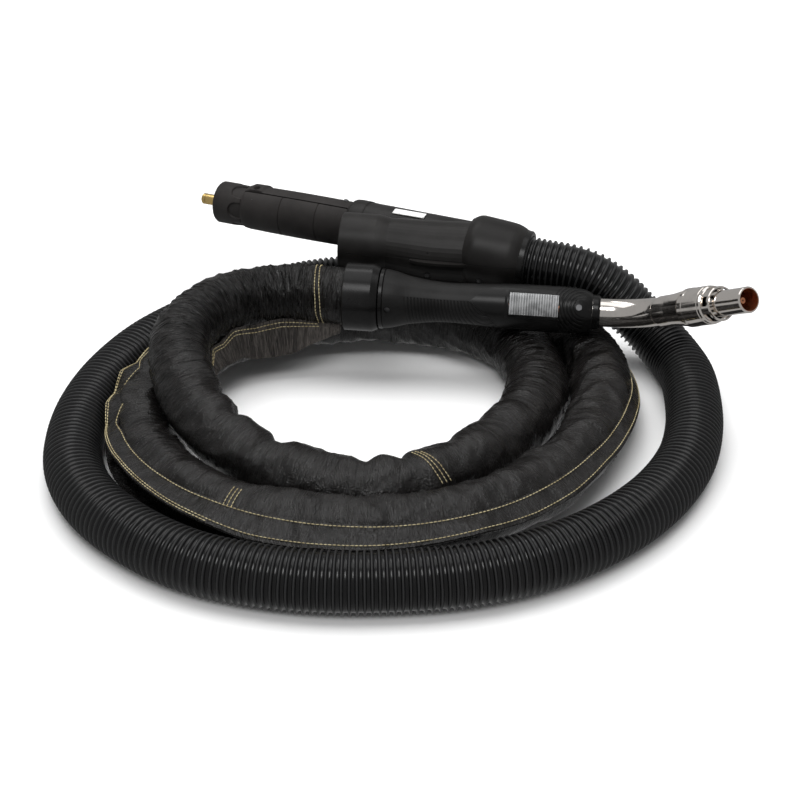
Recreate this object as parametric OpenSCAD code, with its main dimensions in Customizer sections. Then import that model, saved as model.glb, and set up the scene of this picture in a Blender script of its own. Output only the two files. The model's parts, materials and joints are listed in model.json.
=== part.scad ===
// Fume-extraction MIG welding torch, coiled for display on the floor.
// The origin is the middle of the plug nut's front face, and the contact pin points along -X, roughly.

/* [Machine plug] */
// Diameter of the brass contact pin
pin_d = 11; // [10:0.5:12]
// How far the contact pin stands out of the plug nut
pin_reach = 13; // [8:1:16]
// Wire bore through the contact pin
pin_bore = 5; // [3:0.5:6]
// Diameter of each spring-loaded pilot pin
pilot_d = 4; // [3:0.5:4.5]
// Distance of the pilot pins from the plug's axis
pilot_offset = 10.5; // [10:0.1:11]
// Travel of a pilot pin
pilot_travel = 2.5; // [1:0.5:3]
// Outside diameter of the plug nut
nut_d = 42; // [41:0.5:43]
// Length of the plug nut
nut_length = 32; // [28:1:36]
// Core diameter of the nut's thread
nut_thread_d = 34; // [32:1:35]
// Outside diameter of the plug handle, at its middle
grip_d = 45; // [43:0.5:46]
// Wall of the plug handle's shells
grip_wall = 6; // [5:0.5:7]
// Length of the plug handle
grip_length = 116; // [100:1:130]
// Width of the four plug screws' shanks
plug_screw_d = 3; // [2.5:0.5:3.5]

/* [Y housing] */
// Bore of the suction port's socket
port_d = 50; // [46:1:50]
// Wall of the suction socket
socket_wall = 2; // [1.5:0.5:2.5]
// Length of the suction socket
socket_length = 40; // [34:1:46]
// Wall of the housing around the suction port
port_wall = 2.2; // [2:0.2:4]
// Length of the collar around the suction port
collar_length = 36; // [30:1:42]
// Angle between the two branches
branch_angle = 16; // [15:0.5:17]
// Distance between the two branches' axes at their ends
branch_gap = 51; // [50:1:54]
// Outside diameter of the cable branch
cable_branch_d = 51; // [48:1:52]
// Largest diameter of the junction that the hose leaves
junction_d = 70; // [66:1:74]
// Length of the junction
junction_length = 44; // [40:1:48]
// Distance from the suction port's face to the junction
junction_at = 130; // [124:1:136]
// Width of the hanging fin on the housing's side
fin_length = 62; // [40:1:70]
// How far the fin stands out
fin_reach = 5; // [3:0.5:8]

/* [Hose and sleeve] */
// Outside diameter of the suction hose, over its ribs
hose_d = 50; // [46:0.5:50.4]
// Depth of the grooves between the ribs
rib_depth = 2.4; // [1:0.2:3]
// Number of ribs on the bare stretch
rib_count = 150; // [40:1:200]
// Bore of the suction hose
hose_bore = 38; // [30:1:40]
// Diameter of the hose where the leather presses on its ribs
sleeved_d = 48.8; // [45:0.2:49]
// Thickness of the leather sleeve
leather = 1.25; // [0.8:0.05:1.3]
// Diameter of the power cable inside the hose
cable_d = 16; // [12:0.5:17]

/* [Handle] */
// Outside diameter of the swivel cuff
cuff_d = 62; // [58:1:64]
// Length of the swivel cuff
cuff_length = 32; // [28:1:36]
// How deep the hose and sleeve sit in the cuff
cuff_depth = 14; // [10:1:16]
// Length of the handle, from the swivel ring to the lock ring
handle_length = 189; // [180:1:200]
// Diameter of the handle at its rear end
handle_rear_d = 54.6; // [50:0.2:56]
// Diameter of the handle at its waist
handle_waist_d = 36.8; // [34:0.2:38]
// Diameter of the handle at the trigger
handle_front_d = 41.4; // [40:0.2:43]
// Diameter of the space inside the handle
handle_bore = 26; // [24:0.5:27]
// Length of the trigger
trigger_length = 44; // [38:1:46]
// Width of the trigger
trigger_width = 20; // [16:0.5:20]
// Angle that the trigger swings through when pressed
trigger_swing = 4; // [2:0.5:4]
// Diameter of the trigger's pivot pin
pivot_d = 2.5; // [2:0.1:3]

/* [Neck and nozzle] */
// Outside diameter of the neck's jacket
neck_d = 26; // [24:0.5:26.4]
// Wall of the neck's jacket
neck_wall = 1.5; // [1:0.1:2]
// Bend of the neck
neck_bend = 56; // [45:1:60]
// Radius of the neck's bend
neck_radius = 60; // [50:1:70]
// Diameter of the current-carrying core
core_d = 16; // [14:0.5:17]
// Bore of the core
core_bore = 6; // [4:0.5:7]
// Outside diameter of the suction shroud
shroud_d = 33.6; // [32:0.2:36]
// Outside diameter of the gas nozzle
nozzle_d = 21.8; // [21:0.2:23]
// Wall of the gas nozzle
nozzle_wall = 1.5; // [1:0.1:1.6]
// Length of the gas nozzle in front of the shroud
nozzle_reach = 35; // [25:1:45]
// Diameter of the contact tip
tip_d = 8; // [6:0.5:9]
// How far the contact tip sits back from the nozzle's mouth
tip_setback = 8; // [6:0.5:12]
// Bore of the contact tip, for the wire
wire_d = 1.4; // [1:0.1:1.8]
// Number of air holes in the airflow ring
air_holes = 12; // [6:1:16]

/* [Hidden] */

$fn = 48;
seat = 0.1;          // clearance between pieces that seat on each other
run = 0.3;           // clearance between pieces that pass each other
journal = 0.08;      // clearance of a shaft in its bearing
big = 400;           // longer than any piece that it cuts

// Places of the frames that the pieces are built in
lean = 6;            // the Y housing leans back by this angle
heading = 9;         // its suction branch turns from +X towards -Y
plug_roll = 20;      // the plug shells' parting plane leans from upright
plug_reach = nut_length + grip_length;
coil_at = [181, -252, -81];   // middle of the coil, on the floor
gun_at = [-50, 61, 75];       // rear face of the swivel cuff, from the middle of the coil
gun_heading = 7.6;
gun_roll = 37;
exit_turn = 8;       // the hose leaves the junction turned by this angle
exit_dip = 5;        // and dipping by this one

function turn_x(a, p) = [p.x, p.y * cos(a) - p.z * sin(a), p.y * sin(a) + p.z * cos(a)];
function turn_y(a, p) = [p.x * cos(a) + p.z * sin(a), p.y, p.z * cos(a) - p.x * sin(a)];
function turn_z(a, p) = [p.x * cos(a) - p.y * sin(a), p.x * sin(a) + p.y * cos(a), p.z];

ring_at = cuff_length + run;          // swivel ring, handle and cable coupler, along the handle's axis
handle_at = ring_at + 4.9;
handle_end = handle_at + handle_length;
coupler_at = handle_end - 113;

branch_end = turn_z(-branch_angle, [-plug_reach, 0, 0]) + [0, branch_gap, 0];
function from_housing(p) = turn_z(-heading, turn_x(-lean, p - branch_end));
function from_exit(d) =
    from_housing([junction_at, 0, 0] + turn_z(-exit_turn, turn_y(exit_dip, [d, 0, 0])));
function from_gun(p) = coil_at + gun_at + turn_z(-gun_heading, turn_x(-gun_roll, p));

module in_housing() { rotate([-lean, 0, -heading]) translate(-branch_end) children(); }
module in_plug() { rotate([-lean, 0, -heading]) rotate([0, 0, -branch_angle]) children(); }
module in_plug_shell() { in_plug() rotate([plug_roll, 0, 0]) children(); }
module in_exit() {
    in_housing() translate([junction_at, 0, 0]) rotate([0, exit_dip, -exit_turn]) children();
}
module in_gun() { translate(coil_at + gun_at) rotate([-gun_roll, 0, -gun_heading]) children(); }
module in_nozzle() {
    in_gun() translate([bend_start, -neck_radius, 0]) rotate([0, 0, -neck_bend])
        translate([0, neck_radius, 0]) children();
}

// A ring or tube along X, from x0 to x1
module ring_x(x0, x1, r_out, r_in = 0) {
    translate([x0, 0, 0]) rotate([0, 90, 0]) difference() {
        cylinder(h = x1 - x0, r = r_out);
        if (r_in > 0) translate([0, 0, -1]) cylinder(h = x1 - x0 + 2, r = r_in);
    }
}

// A solid of revolution about X, from points [x, radius]
module lathe_x(points) {
    rotate([90, 0, 90]) rotate_extrude($fn = 96) polygon([for (p = points) [p.y, p.x]]);
}

// Smooth curve through the points: steps pieces to each span
function curve_at(a, b, c, d, t) =
    0.5 * (2 * b + (c - a) * t + (2 * a - 5 * b + 4 * c - d) * t * t
        + (3 * b - a - 3 * c + d) * t * t * t);
function smooth(p, steps) = let (n = len(p) - 1) [
    for (i = [0:n - 1], k = [0:steps - 1])
        curve_at(i == 0 ? 2 * p[0] - p[1] : p[i - 1], p[i], p[i + 1],
            i == n - 1 ? 2 * p[n] - p[n - 1] : p[i + 2], k / steps),
    p[n]];

// ---------------------------------------------------------------- machine plug
pilot_r = pilot_d / 2;
body_front = 10;                      // the plug body's face, behind the nut's face
stem_r = pin_d / 2 + 1;               // the contact pin's stem, inside the plug body
boss_r = pilot_offset + pilot_r + 1.4;
lip_at = nut_length - 10;             // the nut's inner lip bears on the plug body's flange
lip = 6;
shank_r = 14;
flange = 4;
stem_end = nut_length + 18;           // end of the plug body, inside the handle
crimp_end = stem_end + 30;            // end of the contact pin's crimp barrel

module contact_pin() {
    color("goldenrod") in_plug() difference() {
        lathe_x([[-pin_reach, 0], [-pin_reach, pin_d / 2 - 1], [1 - pin_reach, pin_d / 2],
            [body_front, pin_d / 2], [body_front, stem_r], [stem_end + seat, stem_r],
            [stem_end + seat, cable_d / 2 + 1],
            [crimp_end, cable_d / 2 + 1], [crimp_end, 0]]);
        ring_x(-pin_reach - 1, crimp_end + 1, pin_bore / 2);
    }
}

module pilot_pin(side) {
    color("gold") in_plug() translate([0, 0, side * pilot_offset])
        lathe_x([[1, 0], [1, pilot_r - 0.5], [1.5, pilot_r], [body_front + 16, pilot_r],
            [body_front + 16, 0]]);
}

module pilot_pin_upper() { pilot_pin(1); }
module pilot_pin_lower() { pilot_pin(-1); }

module plug_body() {
    color("dimgray") in_plug() difference() {
        union() {
            ring_x(body_front, lip_at, boss_r);
            ring_x(lip_at - flange, lip_at, nut_thread_d / 2 - run);
            ring_x(lip_at, stem_end, shank_r);
        }
        ring_x(body_front - 1, stem_end + 1, stem_r + seat);
        for (side = [-1, 1]) translate([0, 0, side * pilot_offset])
            ring_x(body_front - 1, body_front + 16 + pilot_travel + 1, pilot_r + journal);
    }
}

// The nut turns freely on the plug body; flutes with round ends give the fingers a hold
flutes = 6;
flute_r = 7;
flute_depth = 1.5;
module plug_nut() {
    color([0.13, 0.13, 0.13]) in_plug() difference() {
        lathe_x([[0, nut_thread_d / 2], [0, nut_d / 2 - 1.5], [1.5, nut_d / 2],
            [nut_length - 1, nut_d / 2], [nut_length, nut_d / 2 - 1], [nut_length, nut_thread_d / 2],
            [lip_at + run + lip, nut_thread_d / 2],
            [lip_at + run + lip, shank_r + journal], [lip_at + run, shank_r + journal],
            [lip_at + run, nut_thread_d / 2]]);
        for (i = [0:flutes - 1]) rotate([i * 360 / flutes + 15, 0, 0])
            translate([nut_length / 2, 0, nut_d / 2 + flute_r - flute_depth]) {
                ring_x(0, nut_length, flute_r);
                sphere(r = flute_r);
            }
    }
}

grip_start = nut_length + run;
grip_r = grip_d / 2;
tail_r = cable_branch_d / 2 - 6;      // tail of the plug handle, inside the cable branch
tail_end = plug_reach + 12;
screw_up = shank_r + 4;               // the plug screws' distance from the axis
screw_xs = [grip_start + 12, plug_reach - 9];

module plug_screw_places() {
    for (x = screw_xs, s = [-1, 1]) translate([x, 0, s * screw_up]) children();
}

module plug_shell_blank() {
    difference() {
        union() {
            lathe_x(concat([[grip_start, 0]],
                smooth([[grip_start, grip_r - 1.5], [grip_start + 5, grip_r - 0.5],
                    [grip_start + grip_length / 2, grip_r], [plug_reach - 14, grip_r + 0.2],
                    [plug_reach - run, grip_r - 0.3]], 5),
                [[plug_reach - run, tail_r], [tail_end, tail_r], [tail_end, 0]]));
            translate([screw_xs[0], 0, screw_up]) rotate([-90, 0, 0]) cylinder(h = 14, r = 6);
            for (x = [34, 70]) pad(grip_start + x);
        }
        ring_x(grip_start - 1, stem_end + seat, shank_r + seat);
        ring_x(stem_end, tail_end + 1, grip_r - grip_wall);
        plug_screw_places() rotate([90, 0, 0]) {
            translate([0, 0, -big]) cylinder(h = big - 9, r = plug_screw_d + seat);
            translate([0, 0, -10]) cylinder(h = 22, r = plug_screw_d / 2 + seat);
        }
    }
}

// A low finger pad, raised out of the shell's round
module pad(x) {
    intersection() {
        ring_x(x, x + 30, grip_r + 0.9);
        translate([x, -big, -11]) cube([30, big, 22]);
    }
}

module plug_shell_front() {
    color([0.15, 0.15, 0.15]) in_plug_shell() intersection() {
        plug_shell_blank();
        translate([0, -big, -big / 2]) cube([big, big, big]);
    }
}

module plug_shell_back() {
    color([0.15, 0.15, 0.15]) in_plug_shell() intersection() {
        plug_shell_blank();
        translate([0, 0, -big / 2]) cube([big, big, big]);
    }
}

module plug_screws() {
    color("silver") in_plug_shell() plug_screw_places() rotate([90, 0, 0]) {
        translate([0, 0, -9]) cylinder(h = 20, r = plug_screw_d / 2);
        translate([0, 0, -12]) cylinder(h = 3, r = plug_screw_d);
    }
}

// ---------------------------------------------------------------- Y housing
socket_r = port_d / 2 + socket_wall;
collar_r = socket_r + seat + port_wall;
neck_in = 2.6;                        // the suction branch narrows by this behind the collar
belly_r = junction_d / 2 - 4;
belly_drop = 4;
branch_r = cable_branch_d / 2;
junction_r = junction_d / 2;
mouth_r = hose_d / 2 + 0.6;
hose_at = 12;                         // the hose's end in the junction
clamp_end = junction_length + 5.5;
cable_clear = 1.5;
way_in = 12;                          // room kept free in front of the suction port
cable_way = junction_at + junction_length - 2;   // end of the cable's way through the housing

module housing_blank() {
    difference() {
        union() {
            lathe_x(concat([[0, 0], [0, collar_r - 1]],
                smooth([[1, collar_r], [collar_length - 6, collar_r], [collar_length, collar_r - 0.4],
                    [collar_length + 10, collar_r - neck_in]], 4), [[collar_length + 10, 0]]));
            hull() {
                ring_x(collar_length + 8, collar_length + 10, collar_r - neck_in);
                translate([0, 0, -belly_drop]) ring_x(88, 90, belly_r);
            }
            hull() {
                translate([0, 0, -belly_drop]) ring_x(88, 90, belly_r);
                translate([0, 0, -belly_drop]) ring_x(junction_at - 2, junction_at, belly_r + 1);
            }
            translate([0, branch_gap, 0]) rotate([0, 0, -branch_angle]) lathe_x(concat([[0, 0]],
                smooth([[0, branch_r - 3], [4, branch_r], [18, branch_r], [24, branch_r - 0.8],
                    [140, branch_r - 2.5]], 4), [[140, 0]]));
            junction_solid();
            fin();
        }
        housing_hollow();
    }
}

module junction_solid() {
    translate([junction_at, 0, 0]) rotate([0, exit_dip, -exit_turn]) lathe_x(concat([[-9, 0]],
        smooth([[-9, junction_r - 4], [-2, junction_r], [8, junction_r + 0.2],
            [junction_length - 14, junction_r - 0.8], [junction_length - 6, junction_r - 2.4],
            [junction_length, junction_r - 5]], 5), [[junction_length, 0]]));
}

module fin() {
    translate([junction_at - 30, -belly_r, -2.4]) linear_extrude(height = 2.4)
        polygon([for (a = [0:7.5:360]) [fin_length / 2 * cos(a), (fin_reach + 2) * sin(a)]]);
}

module housing_hollow() {
    ring_x(-way_in, socket_length + seat, socket_r + seat);
    ring_x(socket_length, 96, port_d / 2 - 1);
    translate([0, branch_gap, 0]) rotate([0, 0, -branch_angle]) {
        ring_x(-1, tail_end - plug_reach + seat, tail_r + seat);
        ring_x(tail_end - plug_reach, 30, grip_r - grip_wall);
        ring_x(29, cable_way, cable_d / 2 + cable_clear);
    }
    translate([junction_at, 0, 0]) rotate([0, exit_dip, -exit_turn]) {
        ring_x(-40, hose_at + 1, hose_bore / 2);
        ring_x(hose_at, junction_length + 1, mouth_r);
    }
    housing_screw_places() {
        translate([0, 0, -big]) cylinder(h = big - 14, r = 3.2 + seat);
        translate([0, 0, -15]) cylinder(h = 22, r = 1.6 + seat);
    }
}

housing_screw_xys = [[52, 24.3], [86, -27.4], [junction_at + 8, 31.4], [junction_at + 6, -31.6]];
module housing_screw_places() {
    for (p = housing_screw_xys) translate([p.x, p.y, 0]) children();
}

module housing_upper() {
    color([0.1, 0.1, 0.1]) in_housing() intersection() {
        housing_blank();
        translate([-big / 2, -big / 2, 0]) cube([big, big, big]);
    }
}

module housing_lower() {
    color([0.1, 0.1, 0.1]) in_housing() intersection() {
        housing_blank();
        translate([-big / 2, -big / 2, -big]) cube([big, big, big]);
    }
}

module housing_screws() {
    color("silver") in_housing() housing_screw_places() {
        translate([0, 0, -14]) cylinder(h = 20, r = 1.6);
        translate([0, 0, -17]) cylinder(h = 3, r = 3.2);
    }
}

module suction_socket() {
    color([0.2, 0.2, 0.2]) in_housing() ring_x(0.5, socket_length, socket_r, port_d / 2);
}

module hose_clamp_ring() {
    color([0.08, 0.08, 0.08]) in_exit() lathe_x([[junction_length + seat, mouth_r],
        [junction_length + seat, junction_r - 5], [clamp_end - 1, junction_r - 5.4],
        [clamp_end, junction_r - 6.4], [clamp_end, mouth_r]]);
}

// ---------------------------------------------------------------- hose, sleeve and cable
// The hose lies in three turns: the outer one bare on the floor, then two inner ones in leather,
// the last of which climbs over the one before it to the handle.
// Points are [x, y, z] from the middle of the coil, on the floor.
floor_z = 20;        // middle of the bare hose where it lies on the floor
leather_z = 26;      // middle of the hose where its sleeve lies on the floor
outer_turn = [[197, 81.6, 69.3], [220.7, 74.7, 47.9], [240.3, 60, 31.6], [255, 36, 22],
    for (p = [[261.8, 4.5], [260.3, -40], [254, -84], [240, -130], [214, -176], [180, -215], [138, -248],
        [92, -272], [44, -286], [-8, -292], [-60, -292], [-110, -284], [-160, -267], [-206, -236],
        [-246, -194], [-271, -145], [-279, -92], [-275.7, -38], [-261.2, 16.3], [-233.7, 71],
        [-190, 121], [-140, 161], [-85, 188], [-30, 199], [25, 195]]) [p.x, p.y, floor_z],
    [75, 172, 23]];
middle_turn = [
    for (p = [[115, 137], [144, 97], [164, 62], [177, 22], [180, -26], [171, -78], [148, -130],
        [108, -178], [58, -214], [0, -231], [-54, -231], [-112, -218], [-164, -189], [-202, -144],
        [-220, -92], [-221, -40], [-206.5, 11.7], [-178.2, 56], [-138, 90], [-90, 108], [-40, 115],
        [10, 113], [58, 98], [97, 68.6], [118.2, 27], [124, -16], [113, -62], [88, -106], [52.5, -146.7],
        [3.8, -174.6], [-50, -176]]) [p.x, p.y, leather_z]];
inner_turn = [[-97.8, -160.7, 31.5], [-135.6, -138.9, 39], [-166.2, -108, 52.2], [-186, -69.6, 66.7],
    [-193, -30.2, 75], [-187.7, 4, 76], [-168.3, 37.4, 76], [-136.5, 60.2, 75]];
route = concat([from_exit(hose_at), from_exit(hose_at + 44), from_exit(hose_at + 88)],
    [for (p = concat(outer_turn, middle_turn, inner_turn)) coil_at + p],
    [from_gun([-50, 0, 0]), from_gun([-18, 0, 0]), from_gun([cuff_depth - 0.5, 0, 0])]);

// Length along the route, and the point and direction at a length s
path = smooth(route, 8);
path_s = [for (i = 0, s = 0; i < len(path);
    s = i + 1 < len(path) ? s + norm(path[i + 1] - path[i]) : s, i = i + 1) s];
path_x = [for (i = [0:len(path) - 1]) [path_s[i], path[i].x]];
path_y = [for (i = [0:len(path) - 1]) [path_s[i], path[i].y]];
path_z = [for (i = [0:len(path) - 1]) [path_s[i], path[i].z]];
path_length = path_s[len(path) - 1];
function point_at(s) = [lookup(s, path_x), lookup(s, path_y), lookup(s, path_z)];
function heading_at(s) = let (d = point_at(min(s + 3, path_length)) - point_at(max(s - 3, 0))) d / norm(d);

// The sleeve starts at the first point of the middle turn, under the housing
sleeve_from = path_s[8 * (3 + len(outer_turn))];
plain_rings = 48;
rib_pitch = sleeve_from / rib_count;
plain_step = (path_length - sleeve_from) / plain_rings;
ribbed_stations = [for (i = [0:rib_count * 2 - 1]) [i * rib_pitch / 2, hose_d / 2 - (i % 2) * rib_depth]];
plain_stations = [for (i = [0:plain_rings]) sleeve_from + i * plain_step];
bore_stations = concat([for (i = [0:4:rib_count - 2]) i * rib_pitch], plain_stations);

sides = 8;
floor_level = coil_at.z;
// One ring of points round the path, with a flat side down and cut flat at the floor
function hoop(s, r, least_z) = let (c = point_at(s), t = heading_at(s), a = cross([0, 0, 1], t),
        side = a / norm(a), up = cross(t, side))
    [for (k = [0:sides - 1]) let (w = (k + 0.5) * 360 / sides, q = c + r * cos(w) * side + r * sin(w) * up)
        [q.x, q.y, max(q.z, least_z)]];

// Faces between one ring of points and the next; inward turns them over for a bore
function skin(first, rings, inward) = [
    for (i = [0:rings - 2], k = [0:sides - 1])
        let (a = first + i * sides + k, b = first + i * sides + (k + 1) % sides,
            c = a + sides, d = b + sides)
            each inward ? [[a, b, d], [a, d, c]] : [[a, d, b], [a, c, d]]];
// Faces between an outer ring and an inner ring at one end
function annulus(outer, inner, at_start) = [
    for (k = [0:sides - 1])
        let (a = outer + k, b = outer + (k + 1) % sides, c = inner + k, d = inner + (k + 1) % sides)
            each at_start ? [[a, b, d], [a, d, c]] : [[a, d, b], [a, c, d]]];

// A tube with its bore, from lists of [s, radius]
module swept_tube(outer, inner, least_z) {
    n_out = len(outer);
    n_in = len(inner);
    first_in = n_out * sides;
    points = concat([for (q = outer) each hoop(q[0], q[1], least_z)],
        [for (q = inner) each hoop(q[0], q[1], least_z + 1)]);
    polyhedron(points = points, convexity = 12, faces = concat(
        skin(0, n_out, false), skin(first_in, n_in, true), annulus(0, first_in, true),
        annulus((n_out - 1) * sides, first_in + (n_in - 1) * sides, false)));
}

module suction_hose() {
    color([0.09, 0.09, 0.1]) swept_tube(
        concat(ribbed_stations, [for (s = plain_stations) [s, sleeved_d / 2]]),
        [for (s = bore_stations) [s, hose_bore / 2]], floor_level);
}

sleeve_in = sleeved_d / 2 + 0.35;
module leather_sleeve() {
    color([0.16, 0.14, 0.13]) swept_tube([for (s = plain_stations) [s, sleeve_in + leather]],
        [for (s = plain_stations) [s, sleeve_in]], floor_level + 0.3);
}

// The cable leaves the plug straight, bends in the junction and follows the hose to the handle
cable_lead = smooth([from_plug(crimp_end + seat), from_plug(plug_reach + 100), from_exit(-10),
    from_exit(hose_at)], 5);
function from_plug(x) = turn_z(-heading, turn_x(-lean, turn_z(-branch_angle, [x, 0, 0])));
cable_rings = 64;
cable_path = concat([for (i = [0:len(cable_lead) - 2]) cable_lead[i]],
    [for (i = [0:cable_rings]) point_at(i * path_length / cable_rings)],
    [from_gun([coupler_at - 14, 0, 0]), from_gun([coupler_at, 0, 0])]);

module power_cable() {
    n = len(cable_path);
    rings = [for (i = [0:n - 1])
        let (d = cable_path[min(i + 1, n - 1)] - cable_path[max(i - 1, 0)], a = cross([0, 0, 1], d),
            side = a / norm(a), up = cross(d / norm(d), side))
            for (k = [0:sides - 1]) let (w = (k + 0.5) * 360 / sides)
                cable_path[i] + cable_d / 2 * (cos(w) * side + sin(w) * up)];
    color([0.3, 0.3, 0.32]) polyhedron(points = rings, convexity = 12, faces = concat(skin(0, n, false),
        [[for (k = [0:sides - 1]) k]], [[for (k = [sides - 1:-1:0]) (n - 1) * sides + k]]));
}

// Least gap of the hose to its own other turns, measured on the path's points
skip = 14;
least_gap = min([for (i = [0:2:len(path) - 1 - skip], j = [i + skip:2:len(path) - 1])
    let (d = norm(path[i] - path[j])) abs(path_s[i] - path_s[j]) < 160 ? 99 :
        d - (path_s[i] < sleeve_from ? hose_d / 2 : sleeve_in + leather)
          - (path_s[j] < sleeve_from ? hose_d / 2 : sleeve_in + leather)]);
echo(hose_length = path_length, bare_length = sleeve_from, least_gap = least_gap);

// ---------------------------------------------------------------- swivel cuff and handle
cuff_r = cuff_d / 2;
stub_r = 17.7;
groove_at = cuff_depth + 3.5;
groove = 4.5;
cuff_mouth = sleeve_in + leather + 0.4;

module swivel_cuff() {
    color([0.07, 0.07, 0.07]) in_gun() lathe_x([[0, cuff_mouth], [0, cuff_r - 1.2], [1.2, cuff_r],
        [cuff_length - 6, cuff_r], [cuff_length, cuff_r - 2.6], [cuff_length, stub_r + journal],
        [groove_at + groove, stub_r + journal], [groove_at + groove, stub_r + 4.6],
        [groove_at, stub_r + 4.6], [groove_at, stub_r - 3], [cuff_depth, stub_r - 3],
        [cuff_depth, cuff_mouth]]);
}

module swivel_stub() {
    color("dimgray") in_gun() lathe_x([[groove_at + run, cable_d / 2 + cable_clear],
        [groove_at + run, stub_r + 4.3], [groove_at + groove - run, stub_r + 4.3],
        [groove_at + groove - run, stub_r], [handle_at + 9, stub_r],
        [handle_at + 9, cable_d / 2 + cable_clear]]);
}

module swivel_ring() {
    color([0.2, 0.2, 0.21]) in_gun() lathe_x([[ring_at, stub_r + seat], [ring_at, handle_rear_d / 2 - 0.8],
        [ring_at + 1, handle_rear_d / 2 + 0.4], [handle_at - 1.2, handle_rear_d / 2 + 0.4],
        [handle_at - seat, handle_rear_d / 2 - 0.8], [handle_at - seat, stub_r + seat]]);
}

// Outline of the handle: wide at the cuff, a waist, then a swell at the trigger
handle_outline = smooth([[handle_at, handle_rear_d / 2], [handle_at + 9, handle_rear_d / 2 - 1.6],
    [handle_at + 24, handle_waist_d / 2 + 3.4], [handle_at + 48, handle_waist_d / 2 + 0.2],
    [handle_at + 72, handle_waist_d / 2], [handle_end - 89, handle_front_d / 2 - 1],
    [handle_end - 59, handle_front_d / 2], [handle_end - 29, handle_front_d / 2],
    [handle_end - 12, handle_front_d / 2 - 0.8], [handle_end - 4, handle_front_d / 2 - 2.8],
    [handle_end, handle_front_d / 2 - 5]], 4);
bore_r = handle_bore / 2;
tongue_at = handle_end - 111;         // tip of the trigger housing's tongue
tongue_length = 36;
shell_gap = 0.15;

module handle_round(proud = 0) {
    lathe_x(concat([[handle_at, 0]], [for (p = handle_outline) [p.x, p.y + proud]], [[handle_end, 0]]));
}

// The trigger housing meets the handle along a V, seen from the trigger's side
module tongue_cut(gap) {
    translate([0, big / 2, 0]) rotate([90, 0, 0]) linear_extrude(height = big)
        polygon([[tongue_at - gap, 0], [tongue_at + tongue_length - gap, 26], [handle_end + 5, 26],
            [handle_end + 5, -26], [tongue_at + tongue_length - gap, -26]]);
}

module handle_blank() {
    difference() {
        handle_round();
        ring_x(handle_at - 1, handle_at + 9 + seat, stub_r + seat);
        ring_x(handle_at + 9, handle_end, bore_r);
        tongue_cut(shell_gap);
        rear_screw_places() screw_hole();
    }
}

screw_r = 1.5;
rear_screw_x = handle_at + 4.5;
module rear_screw_places() {
    for (a = [32, 212]) rotate([a, 0, 0]) translate([rear_screw_x, 0, 0]) rotate([90, 0, 0])
        translate([0, 0, stub_r + seat]) children();
}
module screw_hole() {
    translate([0, 0, -1]) cylinder(h = 6, r = screw_r + seat);
    translate([0, 0, 4]) cylinder(h = big, r = screw_r * 1.8 + seat);
}
module screw() {
    cylinder(h = 4.2, r = screw_r);
    translate([0, 0, 4.1]) cylinder(h = 2, r = screw_r * 1.8);
}

module handle_shell_left() {
    color([0.12, 0.12, 0.12]) in_gun() intersection() {
        handle_blank();
        translate([-big / 2, -big / 2, 0]) cube([big, big, big]);
    }
}

module handle_shell_right() {
    color([0.12, 0.12, 0.12]) in_gun() intersection() {
        handle_blank();
        translate([-big / 2, -big / 2, -big]) cube([big, big, big]);
    }
}

front_screw_x = handle_end - 12;
module front_screw_place() {
    translate([front_screw_x, 0, 0]) rotate([90, 0, 0]) translate([0, 0, bore_r + 1]) children();
}

module handle_screws() {
    color("silver") in_gun() {
        rear_screw_places() screw();
        front_screw_place() screw();
    }
}

// ---------------------------------------------------------------- trigger and its switch
pivot_x = handle_end - 34;
pivot_y = -(handle_front_d / 2 - 5.2);
trigger_front = pivot_x + 3.6;
trigger_rear = trigger_front - trigger_length;
pad_bottom = handle_front_d / 2 - 5.1;
slot_half = trigger_width / 2 + 0.5;
proud = 1.4;

module trigger_housing() {
    color([0.07, 0.07, 0.07]) in_gun() difference() {
        intersection() {
            union() {
                handle_round(0.4);
                trigger_frame();
                for (i = [0:3]) translate([handle_end - 32 + i * 5, 0, 0])
                    ring_x(0, 1.4, handle_front_d / 2 + 0.8);
            }
            tongue_cut(0);
        }
        ring_x(handle_at, core_clamp_at + core_clamp_length + seat, bore_r);
        ring_x(core_clamp_at + core_clamp_length, handle_end + 1, neck_d / 2 + seat);
        translate([trigger_rear - 0.7, -big, -slot_half]) cube([trigger_length + 1.4, big, 2 * slot_half]);
        translate([pivot_x, pivot_y, 0])
            cylinder(h = pivot_length + seat, r = pivot_d / 2 + 0.02, center = true);
        front_screw_place() screw_hole();
    }
}

// A rim round the trigger, raised out of the housing's round
module trigger_frame() {
    intersection() {
        lathe_x([[trigger_rear - 4, 0], [trigger_rear - 4, handle_front_d / 2 + 0.6],
            [trigger_rear - 2, handle_front_d / 2 + 1.2], [trigger_front + 3, handle_front_d / 2 + 1.2],
            [trigger_front + 5, handle_front_d / 2 + 0.6], [trigger_front + 5, 0]]);
        translate([trigger_rear - 5, -big, -slot_half - 2.2])
            cube([trigger_length + 11, big, 2 * slot_half + 4.4]);
    }
}

pivot_length = trigger_width + 5;
ridges = 13;
module trigger() {
    color([0.62, 0.63, 0.64]) in_gun() difference() {
        union() {
            intersection() {
                union() {
                    ring_x(trigger_rear, trigger_front, handle_front_d / 2 + proud);
                    for (i = [0:ridges - 1])
                        translate([trigger_rear + 3 + i * (trigger_length - 8) / ridges, 0, 0])
                            ring_x(0, 1.4, handle_front_d / 2 + proud + 0.5);
                }
                translate([trigger_rear, -big, -trigger_width / 2])
                    cube([trigger_length, big - pad_bottom, trigger_width]);
            }
            translate([pivot_x - 3.5, pivot_y - 3, -trigger_width / 2]) cube([7, 6, trigger_width]);
        }
        translate([pivot_x, pivot_y, 0])
            cylinder(h = 2 * trigger_width, r = pivot_d / 2 + journal, center = true);
    }
}

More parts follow.
